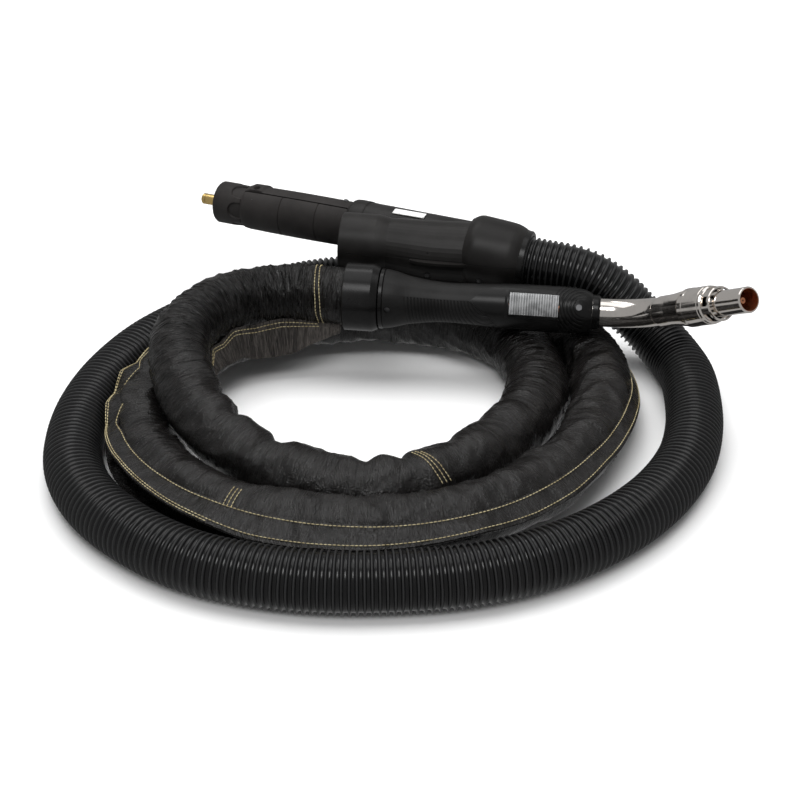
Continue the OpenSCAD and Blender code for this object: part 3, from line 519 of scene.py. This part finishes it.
# %% Route points
CURVE_STEPS = 8
EXIT_XS = (EXIT_FROM, 56, 100)
OUTER_TURN = [(197, 81.6, 69.3), (220.7, 74.7, 47.9), (240.3, 60, 31.6), (255, 36, 22)] + [
    (x, y, 20) for x, y in (
        (261.8, 4.5), (260.3, -40), (254, -84), (240, -130), (214, -176), (180, -215), (138, -248),
        (92, -272), (44, -286), (-8, -292), (-60, -292), (-110, -284), (-160, -267), (-206, -236),
        (-246, -194), (-271, -145), (-279, -92), (-275.7, -38), (-261.2, 16.3), (-233.7, 71),
        (-190, 121), (-140, 161), (-85, 188), (-30, 199), (25, 195))] + [(75, 172, 23)]
MIDDLE_TURN = [
    (x, y, 26) for x, y in (
        (115, 137), (144, 97), (164, 62), (177, 22), (180, -26), (171, -78), (148, -130),
        (108, -178), (58, -214), (0, -231), (-54, -231), (-112, -218), (-164, -189), (-202, -144),
        (-220, -92), (-221, -40), (-206.5, 11.7), (-178.2, 56), (-138, 90), (-90, 108), (-40, 115),
        (10, 113), (58, 98), (97, 68.6), (118.2, 27), (124, -16), (113, -62), (88, -106),
        (52.5, -146.7), (3.8, -174.6), (-50, -176))]
INNER_TURN = [(-97.8, -160.7, 31.5), (-135.6, -138.9, 39), (-166.2, -108, 52.2),
              (-186, -69.6, 66.7), (-193, -30.2, 75), (-187.7, 4, 76), (-168.3, 37.4, 76),
              (-136.5, 60.2, 75)]
route = ([place(AT_EXIT, x) for x in EXIT_XS]
         + [place(COIL, *p) for p in OUTER_TURN + MIDDLE_TURN + INNER_TURN]
         + [place(AT_HANDLE, x) for x in (-50, -18, 13.5)])


def smooth_curve(points):
    """A curve through the points, with CURVE_STEPS steps between one and the next."""
    p = [2 * points[0] - points[1]] + list(points) + [2 * points[-1] - points[-2]]
    curve = []
    for a, b, c, d in zip(p, p[1:], p[2:], p[3:]):
        for t in (k / CURVE_STEPS for k in range(CURVE_STEPS)):
            curve.append(0.5 * (2 * b + (c - a) * t + (2 * a - 5 * b + 4 * c - d) * t * t
                                + (3 * b - a - 3 * c + d) * t * t * t))
    return np.array([tuple(v) for v in curve + [points[-1]]])


def lengths_along(points):
    """The length run from the first point to each point."""
    return np.concatenate([[0], np.cumsum(np.linalg.norm(np.diff(points, axis=0), axis=1))])


line = smooth_curve(route)
along = lengths_along(line) / MM
HOSE_LENGTH = along[-1]
SLEEVE_FROM = along[CURVE_STEPS * (len(EXIT_XS) + len(OUTER_TURN))]
print(f"Hose {HOSE_LENGTH:.0f} mm, bare for {SLEEVE_FROM:.0f} mm")

# %% [markdown]
# ## Round the hose
# Everything on the hose is easier to say in the hose's own terms: a length along it, a turn about
# it, and a distance from its middle. Turn 0 is the side away from the coil's middle and turn 90
# is the top. These helpers give the point in the scene.

# %% Points round the hose
def middle_at(s):
    """The middle of the hose at lengths s."""
    s = np.asarray(s, float)
    return np.stack([np.interp(s, along, line[:, k]) for k in range(3)], axis=-1)


def axes_of(ahead):
    """The outward side and the upper side of something that runs that way."""
    ahead = ahead / np.linalg.norm(ahead, axis=-1, keepdims=True)
    side = np.cross((0, 0, 1), ahead)
    side /= np.linalg.norm(side, axis=-1, keepdims=True)
    return side, np.cross(ahead, side)


def axes_at(s):
    """The middle of the hose, its outward side and its upper side at lengths s."""
    s = np.asarray(s, float)
    ahead = middle_at(np.minimum(s + 3, HOSE_LENGTH)) - middle_at(np.maximum(s - 3, 0))
    return middle_at(s), *axes_of(ahead)


def round_hose(s, turn, radius):
    """Points at lengths s in mm, turns in degrees and distances in mm."""
    middle, side, up = axes_at(s)
    w = np.radians(np.asarray(turn, float))[..., None]
    return middle + np.asarray(radius, float)[..., None] * MM * (np.cos(w) * side + np.sin(w) * up)


def beside_hose(s, out, above):
    """Points at lengths s, so many mm outwards and above the middle."""
    middle, side, up = axes_at(s)
    return (middle + np.asarray(out, float)[..., None] * MM * side
            + np.asarray(above, float)[..., None] * MM * up)


print("Least height of the route:", round(line[:, 2].min() - FLOOR, 4), "m above the floor")

# %% [markdown]
# ## A grid rolled into a tube
# A tube along a route is a flat grid rolled up: one edge of the grid runs along the hose and the
# other goes round it. `create_grid` makes the faces, each corner is then put in its place and gets
# its length and turn as a map, the two edges that meet are merged, and the two ends are closed.

# %% Roll a grid
def rolled(name, lengths, turns, points, closed=True):
    """A grid of lengths by turns with its corners at points[i, j], merged where it meets itself."""
    n_long, n_round = len(lengths) - 1, len(turns) - 1
    bm = bmesh.new()
    own_map = bm.loops.layers.uv.new("UVMap")
    bmesh.ops.create_grid(bm, x_segments=n_long, y_segments=n_round, size=0.5)
    index = [(round((v.co.x + 0.5) * n_long), round((v.co.y + 0.5) * n_round)) for v in bm.verts]
    for face in bm.faces:
        for loop in face.loops:
            i, j = index[loop.vert.index]
            loop[own_map].uv = (lengths[i] * MM, turns[j] * MM)
    for vert, (i, j) in zip(bm.verts, index):
        vert.co = points[i, j]
    if closed:
        edge = [v for v, (i, j) in zip(bm.verts, index) if j in (0, n_round)]
        bmesh.ops.remove_doubles(bm, verts=edge, dist=1e-7)
        open_edges = [e for e in bm.edges if e.is_boundary]
        bmesh.ops.holes_fill(bm, edges=open_edges, sides=0)
        bmesh.ops.recalc_face_normals(bm, faces=bm.faces)
    return finished_mesh(name, bm)


def above_floor(points, least_mm):
    """Lifts the points that lie too low."""
    points[..., 2] = np.maximum(points[..., 2], FLOOR + least_mm * MM)
    return points


print("Grid roller ready")

# %% [markdown]
# ## The ribbed hose
# The suction hose is a thin smooth wall held open by a narrow rib every 5.55 mm. Between two ribs
# the wall is a plain band that catches the light, so eight rings of points draw one band and one
# rib. Under the leather the ribs can't be seen, so the tube is plain there.

# %% Hose
HOSE_R, UNDER_LEATHER = 25, 19.6
RIB_PITCH, HOSE_SIDES = 5.55, 36
rib = [(0.00, -1.9), (0.10, -2.35), (0.48, -2.35), (0.58, -1.9), (0.65, -0.5), (0.73, 0), (0.85, 0),
       (0.93, -0.5)]
ribs = round(SLEEVE_FROM / RIB_PITCH)
pitch = SLEEVE_FROM / ribs
hose_rings = [((i + part) * pitch, HOSE_R + depth) for i in range(ribs) for part, depth in rib]
hose_rings += [(s, UNDER_LEATHER) for s in np.linspace(SLEEVE_FROM, HOSE_LENGTH, 190)]
hose_s = np.array([ring[0] for ring in hose_rings])
hose_radius = np.array([ring[1] for ring in hose_rings])
hose_turns = np.linspace(0, 360, HOSE_SIDES + 1)
grid_s, grid_turn = np.meshgrid(hose_s, hose_turns, indexing="ij")
hose_points = above_floor(round_hose(grid_s, grid_turn, hose_radius[:, None] + 0 * grid_turn), 0)
hose_points[:, -1] = hose_points[:, 0]
hose = rolled("corrugated_hose", hose_s, np.radians(hose_turns) * HOSE_R, hose_points)
print("Hose faces:", len(hose.data.polygons), "ribs:", ribs)

# %% [markdown]
# ## The hose's finish
# The bands between the ribs are a glossy, almost black plastic with a little dust on it, and the
# ribs are a shade lighter and duller. The hose's own map says how far along a point is, so the
# lighter rings always lie on the ribs.

# %% Hose finish
hose_black = Finish("hose_black", Metallic=0.0, Specular_IOR_Level=0.42)
hose_spot = hose_black.spot()
dust = hose_black.noise(hose_spot, 45, 5, 0.65)
run, _, _ = hose_black.split(hose_black.spot(own_map=True))
on_rib = hose_black.ramp((run * (1000 / pitch)).fraction(), (0.56, 0), (0.68, 1), (0.9, 1), (0.98, 0))
band = hose_black.mix(hose_black.ramp(dust, (0.4, 0), (0.8, 1)), (0.0022, 0.0022, 0.0024, 1),
                      (0.006, 0.006, 0.0064, 1))
hose_black.set(Base_Color=hose_black.mix(on_rib, band, (0.017, 0.017, 0.0175, 1)),
               Roughness=0.13 + 0.14 * dust + 0.2 * on_rib,
               Normal=hose_black.bump(hose_black.noise(hose_spot, 700, 3), 0.03))
finishes["hose_black"] = hose_black
hose.data.materials.append(hose_black.material)
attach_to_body(hose, "hose_package")
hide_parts("suction_hose")

# %% [markdown]
# ## The leather's wrinkles
# Leather that is bent round a hose bunches up on the inside of the bend and stretches outside.
# Four kinds of fold make that: slow lumps, fine folds across the sleeve, slanting folds where it
# twists, and deep puckers on the inner edge, with the leather swollen between them. The first three
# are smooth noises, stretched one way, with their own strength along the length. A pucker is a
# place and a depth. Together they change the sleeve's radius.

# %% Wrinkles
LEATHER_R, LEATHER_LEAST_R, DEEPEST_PINCH = 26.2, 20.6, 7.5
LEATHER_CLEAR = 0.4


def strength(s, *stops):
    """A strength at length s, from stops of length and strength."""
    return np.interp(s, [stop[0] for stop in stops], [stop[1] for stop in stops])


def ridge(value):
    """A sharp crest where a smooth noise passes zero."""
    return (1 - min(1.0, abs(value) * 2.2)) ** 2


PUCKERS = ((3386, 6.0), (3354, 7.0), (3304, 7.0), (3297, 5.0), (3215, 7.5), (3183, 6.0),
           (3130, 3.0), (3084, 3.5), (3040, 2.6), (2960, 3.4), (2905, 4.0), (2862, 3.6))


def leather_radius(s, turn):
    """Distance of the leather's face from the hose's middle, in mm."""
    w = math.radians(turn)
    cx, cy = math.cos(w), math.sin(w)
    lumps = strength(s, (1650, 2.2), (2300, 2.0), (2700, 1.4), (3050, 1.6), (3120, 2.4), (3400, 2.0),
                     (3450, 1.0)) * noise.noise((s / 44, cx * 1.3, cy * 1.3 + 7))
    fine = ridge(noise.noise((s / 9 + 2.2 * cy, cx * 1.1 + 3, cy * 1.1)))
    slant = ridge(noise.noise((s / 34 + 1.1 * cy, cx * 0.8 - 9, cy * 0.8)))
    fold = (strength(s, (1650, 0.5), (2000, 0.4), (2300, 0.6), (2700, 1.1), (3000, 1.2), (3090, 0.5),
                     (3380, 0.6), (3430, 1.6), (3620, 1.6), (3660, 0.6)) * (fine - 0.3)
            + strength(s, (1650, 2.6), (2060, 2.6), (2160, 1.4), (2260, 1.3), (2400, 2.4), (2700, 1.8),
                       (2900, 1.4), (3100, 1.0), (3400, 0.6)) * (slant - 0.25))
    pinch = 0.0
    inner = math.exp(-(((turn + 30) % 360 - 180) / 55) ** 2)
    for at, depth in PUCKERS:
        pinch += depth * math.exp(-((s - at + 6 * noise.noise((at, cy * 2, 0))) / 7.5) ** 2)
    swell = strength(s, (2780, 0), (2850, 2.0), (3100, 2.0), (3190, 1.5), (3400, 1.5), (3450, 0)) * inner
    pinch = min(pinch, DEEPEST_PINCH) * inner
    return max(LEATHER_LEAST_R, LEATHER_R + lumps + fold + swell - pinch)


def leather_point(s, turn):
    return above_floor(round_hose(s, turn, leather_radius(s, turn)), LEATHER_CLEAR)


SLEEVE_STEP, SLEEVE_SIDES = 3.0, 72
IN_CUFF, CUFF_R = 6, 26.0
sleeve_s = np.arange(SLEEVE_FROM, HOSE_LENGTH, SLEEVE_STEP)
sleeve_turns = np.linspace(-180, 180, SLEEVE_SIDES + 1)
sleeve_radius = np.array([[leather_radius(s, t) for t in sleeve_turns] for s in sleeve_s])
sleeve_radius[-IN_CUFF:] = np.minimum(sleeve_radius[-IN_CUFF:], CUFF_R)
grid_s, grid_turn = np.meshgrid(sleeve_s, sleeve_turns, indexing="ij")
sleeve_points = above_floor(round_hose(grid_s, grid_turn, sleeve_radius), LEATHER_CLEAR)
sleeve_points[:, -1] = sleeve_points[:, 0]
sleeve = rolled("leather_wrap", sleeve_s, np.radians(sleeve_turns) * CUFF_R, sleeve_points)
print("Sleeve faces:", len(sleeve.data.polygons))

# %% [markdown]
# ## Leather
# Split leather has a pebbled grain about a millimetre across, finer creases between the big folds, and a
# soft sheen.
# The grain follows the sleeve's own map, so it bends with the hose. On some stretches the leather is
# ringed by fine creases, and the length from the map says where. Its colour is random wear plus a painted
# highlight: the raised folds and hairlines are painted lighter than the hollows between them.

# %% Leather finish
RAMP_METRES = 4


def leather(name, dark, light, rough, grain_mm=1.3):
    finish = Finish(name, Metallic=0.0, Specular_IOR_Level=0.42)
    spot = finish.spot(own_map=True)
    length, _, _ = finish.split(spot)
    pebbles = finish.node("ShaderNodeTexVoronoi", {"feature": "F1"},
                          {"Vector": spot, "Scale": 1000 / grain_mm, "Randomness": 1.0})
    hairs = finish.noise(finish.spot((1, 0.09, 1), own_map=True, turn=(0, 0, 0.06)), 330, 3, 0.6)
    rings = finish.noise(finish.spot((1, 0.13, 1), own_map=True), 110, 3, 0.55)
    slants = finish.noise(finish.spot((1, 0.24, 1), own_map=True, turn=(0, 0, 0.55)), 55, 4, 0.55)
    hair = finish.ramp(hairs, (0.42, 0), (0.5, 1), (0.58, 0))
    crease = finish.ramp(rings, (0.38, 0), (0.5, 1), (0.62, 0))
    ringed = finish.ramp(length * (1 / RAMP_METRES), (0.4, 0.0), (0.56, 0.04), (0.62, 0.35), (0.67, 0.25),
                         (0.70, 0.45), (0.745, 0.4), (0.77, 0.04), (0.845, 0.1), (0.87, 1), (0.9, 1),
                         (0.915, 0.5))
    softs = finish.noise(finish.spot((1, 0.6, 1), own_map=True, turn=(0, 0, 0.5)), 42, 2, 0.45)
    folds = 0.75 * ringed * crease + (0.5 - 0.3 * ringed) * slants + (2.2 - 1.8 * ringed) * softs
    worn = finish.noise(finish.spot(), 32, 5, 0.6)
    # Painted highlight and shade: the colour is lighter on the raised folds and hairlines and darker in
    # the hollows, mixed with the random wear noise.
    tone = finish.ramp(0.4 * worn + 0.3 * folds + 0.3 * hair, (0.35, 0), (0.8, 1))
    pressed = finish.bump(folds, 4.2)
    finish.set(Base_Color=finish.mix(tone, dark, light),
               Roughness=rough - 0.12 + 0.2 * hairs,
               Normal=finish.bump(0.9 * ringed * hair + (1.0 - 0.8 * ringed) * pebbles, 0.55, 0.9,
                                  over=pressed))
    finishes[name] = finish


leather("sleeve_leather", (0.0022, 0.002, 0.0019, 1), (0.0085, 0.0076, 0.0072, 1), 0.29)
leather("suede", (0.026, 0.0225, 0.02, 1), (0.115, 0.102, 0.092, 1), 0.75, 2.2)
sleeve.data.materials.append(finishes["sleeve_leather"].material)
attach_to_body(sleeve, "hose_package")
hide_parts("leather_sleeve")

# %% [markdown]
# ## The flap of the sleeve
# The sleeve is a long strip of leather closed round the hose, and its two edges are sewn together
# as a flat flap. On the middle turn the flap lies outwards over the bare hose, and near the handle
# it hangs inwards. A flap is a ribbon between a line on the sleeve and its free edge, and two
# layers of leather thick. On the left the lower layer comes away by itself.

# %% Flaps
SEAM_R = 25.6
FLAP_STEP, FLAP_WIDE, FLAP_CLEAR, EDGE_ROUND = 4.0, 30, 1.5, 0.6


def flap_lines(attach, edge, s):
    """Where the flap starts on the sleeve and where its free edge is, outwards and above, in mm."""
    turn = np.radians(np.interp(s, [a[0] for a in attach], [a[1] for a in attach]))
    out = np.interp(s, [a[0] for a in attach], [a[2] if len(a) > 2 else SEAM_R for a in attach])
    to_w = np.interp(s, [e[0] for e in edge], [e[1] for e in edge])
    to_h = np.interp(s, [e[0] for e in edge], [e[2] for e in edge])
    return out * np.cos(turn), out * np.sin(turn), to_w, to_h


def flap(name, attach, edge, finish, waves=1.2, thickness=2.4, across=9):
    """A ribbon from attach, of s, turn and distance, to edge, of s, outwards and above."""
    s = np.arange(edge[0][0], edge[-1][0] + FLAP_STEP / 2, FLAP_STEP)
    from_w, from_h, to_w, to_h = flap_lines(attach, edge, s)
    points = np.zeros((len(s), across, 3))
    for j in range(across):
        share = j / (across - 1)
        bulge = [waves * math.sin(math.pi * min(1, share * 1.2)) * noise.noise((x / 26, share, 3))
                 + waves * share * noise.noise((x / 40, 5, 1)) for x in s]
        points[:, j] = beside_hose(s, from_w + (to_w - from_w) * share,
                                   from_h + (to_h - from_h) * share + np.array(bulge))
    above_floor(points, FLAP_CLEAR)
    made = rolled(name, s, np.linspace(0, FLAP_WIDE, across), points, closed=False)
    wall = made.modifiers.new("two layers of leather", "SOLIDIFY")
    wall.thickness, wall.offset = thickness * MM, 0
    round_edge = made.modifiers.new("soft edge", "BEVEL")
    round_edge.width, round_edge.segments, round_edge.limit_method = EDGE_ROUND * MM, 2, "ANGLE"
    made.data.materials.append(finishes[finish].material)
    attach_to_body(made, "hose_package")
    return made


OUTER_SEAM = [(1760, 15), (1800, 15), (1840, 20), (1880, 34), (1920, 39), (1960, 42), (2000, 41),
              (2040, 41), (2080, 42), (2120, 42), (2160, 43), (2200, 44), (2240, 48), (2280, 50),
              (2320, 50), (2360, 47), (2396, 46), (2414, 36), (2436, 66), (2458, 42), (2484, 72),
              (2508, 46), (2532, 62), (2560, 50), (2600, 45)]
OUTER_EDGE = [(1760, 30, -8), (1800, 32, -6), (1840, 33, -2), (1880, 33, 7), (1920, 34, 11),
              (1960, 35, 11), (2000, 38, 8), (2040, 39, 8), (2080, 40, 12), (2120, 40, 10),
              (2160, 41, 9), (2200, 42, 9), (2240, 41, 9), (2280, 40, 15), (2320, 38, 18),
              (2360, 37, 20), (2400, 34, 13), (2420, 31, 8), (2440, 32, 16), (2462, 28, 10),
              (2484, 30, 18), (2508, 26, 10), (2530, 28, 12), (2560, 29, 2), (2600, 30, -2)]
outer_flap = flap("outer_flap", OUTER_SEAM, OUTER_EDGE, "sleeve_leather")

# The lower layer reaches almost to the bare hose beside it. The bare hose's own last stretch, which
# runs into the sleeve, isn't beside it.
LAST_STRETCH, BESIDE_GAP, UNDER_LEAST, UNDER_ABOVE = 200, 2.5, 27.0, -4
UNDER_SEAM = [(2240, -20), (2460, -20)]
bare_line = line[along < SLEEVE_FROM - LAST_STRETCH][:, :2]
UNDER_EDGE = []
for s in range(2240, 2461, 20):
    room = np.linalg.norm(bare_line - middle_at(s)[:2], axis=1).min() / MM
    UNDER_EDGE.append((s, max(UNDER_LEAST, room - (HOSE_R + BESIDE_GAP)), UNDER_ABOVE))
under_flap = flap("under_flap", UNDER_SEAM, UNDER_EDGE, "sleeve_leather", waves=0.3, thickness=1.6,
                  across=5)
print("Lower layer reaches", [round(e[1]) for e in UNDER_EDGE])

INNER_SEAM = [(3396, -112, 26), (3413, -116, 33), (3428, -120, 29), (3443, -126, 35), (3457, -134, 27),
              (3470, -130, 36), (3483, -130, 36), (3497, -140, 27), (3518, -138, 30), (3540, -146, 25.6),
              (3572, -140, 27.5), (3605, -144, 25.6), (3646, -128, 25.6), (3664, -118, 25.6)]
INNER_EDGE = [(3396, -14, -26), (3430, -22, -34), (3470, -28, -38), (3510, -30, -41),
              (3548, -30, -43), (3566, -31, -48), (3590, -30, -51), (3626, -28, -46),
              (3646, -22, -37), (3664, -18, -31)]
inner_flap = flap("inner_flap", INNER_SEAM, INNER_EDGE, "suede", waves=5.5)
print("Flaps:", outer_flap.name, under_flap.name, inner_flap.name)

# %% [markdown]
# ## Stitching
# The seams are sewn with a cream coloured thread. One stitch is a small bead of thread 3.4 mm
# long, and a seam is a row of them along a line that lies on the leather. Two bands of three rows
# cross the sleeve where its lengths are joined, and two rings go round it near the handle. All
# the stitches are one mesh of very simple beads.

# %% Stitches
thread_mesh = bmesh.new()
STITCH, STITCH_GAP, THREAD_WIDE, THREAD_HIGH = 3.4, 0.4, 0.46, 0.42
ON_SLEEVE, ON_FLAP = 0.45, 1.7
ROW_GAP, SEAM_STEP, TURN_STEP = 3.4, 3.0, 3


def sew(points, outwards, proud=ON_SLEEVE):
    """Stitches along points, raised along the outward directions."""
    points = np.asarray(points) + np.asarray(outwards) * proud * MM
    run = lengths_along(points) / MM
    for start in np.arange(0.3, run[-1] - STITCH, STITCH):
        a, b = (Vector([np.interp(start + d, run, points[:, k]) for k in range(3)])
                for d in (0.0, STITCH - STITCH_GAP))
        normal = Vector([np.interp(start, run, np.asarray(outwards)[:, k]) for k in range(3)])
        forward = (b - a).normalized()
        side = normal.cross(forward).normalized()
        turn = Matrix((forward, side, forward.cross(side))).transposed().to_4x4()
        size = Matrix.Diagonal((STITCH * 0.5 * MM, THREAD_WIDE * MM, THREAD_HIGH * MM, 1))
        bmesh.ops.create_uvsphere(thread_mesh, u_segments=6, v_segments=4, radius=1,
                                  matrix=Matrix.Translation((a + b) / 2) @ turn @ size)


def seam_on_sleeve(s_values, turns):
    """A line on the leather and its outward directions."""
    points, normals = [], []
    for s, turn in zip(s_values, turns):
        point = leather_point(s, turn)
        points.append(point)
        normals.append((point - middle_at(s)) / np.linalg.norm(point - middle_at(s)))
    return np.array(points), np.array(normals)


def seam_on_flap(attach, edge, share, low, high):
    """A line along a flap, share of the way from the sleeve to its edge."""
    s = np.arange(low, high, SEAM_STEP)
    from_w, from_h, to_w, to_h = flap_lines(attach, edge, s)
    w = from_w + (to_w - from_w) * share
    h = from_h + (to_h - from_h) * share
    _, side, up = axes_at(s)
    lean_w, lean_h = -(to_h - from_h), (to_w - from_w)
    size = np.hypot(lean_w, lean_h)
    normals = side * (lean_w / size)[:, None] + up * (lean_h / size)[:, None]
    return beside_hose(s, w, h), normals


for share, low, high in ((0.12, 1800, 2560), (0.83, 1800, 2560), (0.93, 2270, 2560)):
    sew(*seam_on_flap(OUTER_SEAM, OUTER_EDGE, share, low, high), proud=ON_FLAP)
for share in (0.1, 0.22):
    points, normals = seam_on_flap(INNER_SEAM, INNER_EDGE, share, 3410, 3648)
    sew(points, -normals, proud=ON_FLAP)
for first, low, high, lean in ((2260, 16, 95, 0), (3167, 25, 120, 11)):
    for at in (first + ROW_GAP * row for row in range(3)):
        turns = np.arange(low, high, TURN_STEP)
        sew(*seam_on_sleeve(at - lean * (1 - (turns - low) / (high - low)), turns))
for at in (3638, 3641.6):
    turns = np.arange(-90, 271, TURN_STEP)
    sew(*seam_on_sleeve(at + np.interp(turns, (60, 160, 215), (0, 5.8, 6.9)), turns))
bmesh.ops.recalc_face_normals(thread_mesh, faces=thread_mesh.faces)
stitching = finished_mesh("sleeve_stitching", thread_mesh)
print("Stitching faces:", len(stitching.data.polygons))

# %% [markdown]
# ## The thread's finish
# The thread is cream where it is clean and tan where hands and dust have soiled it. A slow noise
# mixes the two, and a very fine bump stands for the twisted fibres.

# %% Thread finish
thread = Finish("thread", Metallic=0.0, Roughness=0.62)
soiled = thread.noise(thread.spot(), 120, 4)
thread.set(Base_Color=thread.mix(thread.ramp(soiled, (0.35, 0), (0.7, 1)),
                                 (0.36, 0.29, 0.15, 1), (0.64, 0.56, 0.34, 1)),
           Normal=thread.bump(thread.noise(thread.spot(), 2500), 0.08))
stitching.data.materials.append(thread.material)
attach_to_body(stitching, "hose_package")

# %% [markdown]
# ## The power cable
# Inside the hose runs the power cable with its gas and wire liner. It can't be seen, but its
# place is kept by a smooth tube, from the plug's crimp through the housing and the hose to the
# coupler in the handle.

# %% Power cable
CABLE_R, CABLE_SIDES = 8, 16
lead = smooth_curve([place(AT_PLUG, CRIMP_END + 0.1), place(AT_PLUG, PLUG_REACH + 100),
                     place(AT_EXIT, -10), place(AT_EXIT, EXIT_FROM)])[:-1]
in_hose = middle_at(np.linspace(0, HOSE_LENGTH, 200))
to_coupler = np.array([tuple(place(AT_HANDLE, x)) for x in (60, 99, 113)])
cable_line = np.concatenate([lead, in_hose, to_coupler])
cable_run = lengths_along(cable_line)
side, up = axes_of(np.gradient(cable_line, axis=0))
cable_turns = np.linspace(0, 360, CABLE_SIDES + 1)
w = np.radians(cable_turns)[None, :, None]
cable_points = (cable_line[:, None]
                + CABLE_R * MM * (np.cos(w) * side[:, None] + np.sin(w) * up[:, None]))
cable_points[:, -1] = cable_points[:, 0]
cable = rolled("inner_power_cable", cable_run / MM, np.radians(cable_turns) * CABLE_R,
               cable_points)
cable.data.materials.append(finishes["cable_rubber"].material)
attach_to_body(cable, "hose_package")
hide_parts("power_cable")
print("Cable", round(cable_run[-1], 3), "m")

# %% [markdown]
# ## The bare plate
# A small pale plate is let into the cable branch of the housing. It stays bare. It is a flat grid
# bent round the branch, and Solidify gives it a wall.

# %% Plate
PLATE_AT, PLATE_TURN, PLATE_LONG, PLATE_WIDE = 64, 104, 33, 8
BRANCH_R, PLATE_R, PLATE_THICK = 25, 24.9, 0.8
plate_mesh = bmesh.new()
bmesh.ops.create_grid(plate_mesh, x_segments=16, y_segments=6, size=0.5)
for vert in plate_mesh.verts:
    turn = math.radians(PLATE_TURN + vert.co.y * math.degrees(PLATE_WIDE / BRANCH_R))
    vert.co = place(AT_CABLE_BRANCH, PLATE_AT + vert.co.x * PLATE_LONG,
                    PLATE_R * math.cos(turn), PLATE_R * math.sin(turn))
plate = finished_mesh("bare_plate", plate_mesh)
plate_wall = plate.modifiers.new("plate thickness", "SOLIDIFY")
plate_wall.thickness, plate_wall.offset = PLATE_THICK * MM, 0
plate_white = Finish("plate_white", Metallic=0.0)
smudge = plate_white.noise(plate_white.spot(), 240, 4)
plate_white.set(Base_Color=plate_white.mix(plate_white.ramp(smudge, (0.4, 0), (0.75, 1)),
                                           (0.82, 0.82, 0.81, 1), (0.66, 0.66, 0.65, 1)),
                Roughness=0.4 + 0.1 * smudge)
plate.data.materials.append(plate_white.material)
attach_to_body(plate, "hose_package")
print("Plate", PLATE_LONG, "x", PLATE_WIDE, "mm")

# %% [markdown]
# ## The floor's finish
# The floor is white and dull, with a change of tone that is only just there, so it shows the
# shadows of the coil and nothing else.

# %% Floor finish
floor_white = Finish("floor_white", Roughness=0.7, Metallic=0.0)
paper = floor_white.noise(floor_white.spot(), 3)
floor_white.set(Base_Color=floor_white.mix(paper, (0.93, 0.93, 0.93, 1), (0.95, 0.95, 0.95, 1)))
floor.data.materials.append(floor_white.material)
print("Floor ready")

# %% [markdown]
# ## Where the hose starts
# The hose is a fixed length of something flexible, with its sleeve, flaps and stitching on it.
# This cell only works out the point where it leaves the housing.

# %% Where the hose leaves the housing
place(AT_EXIT, 12)
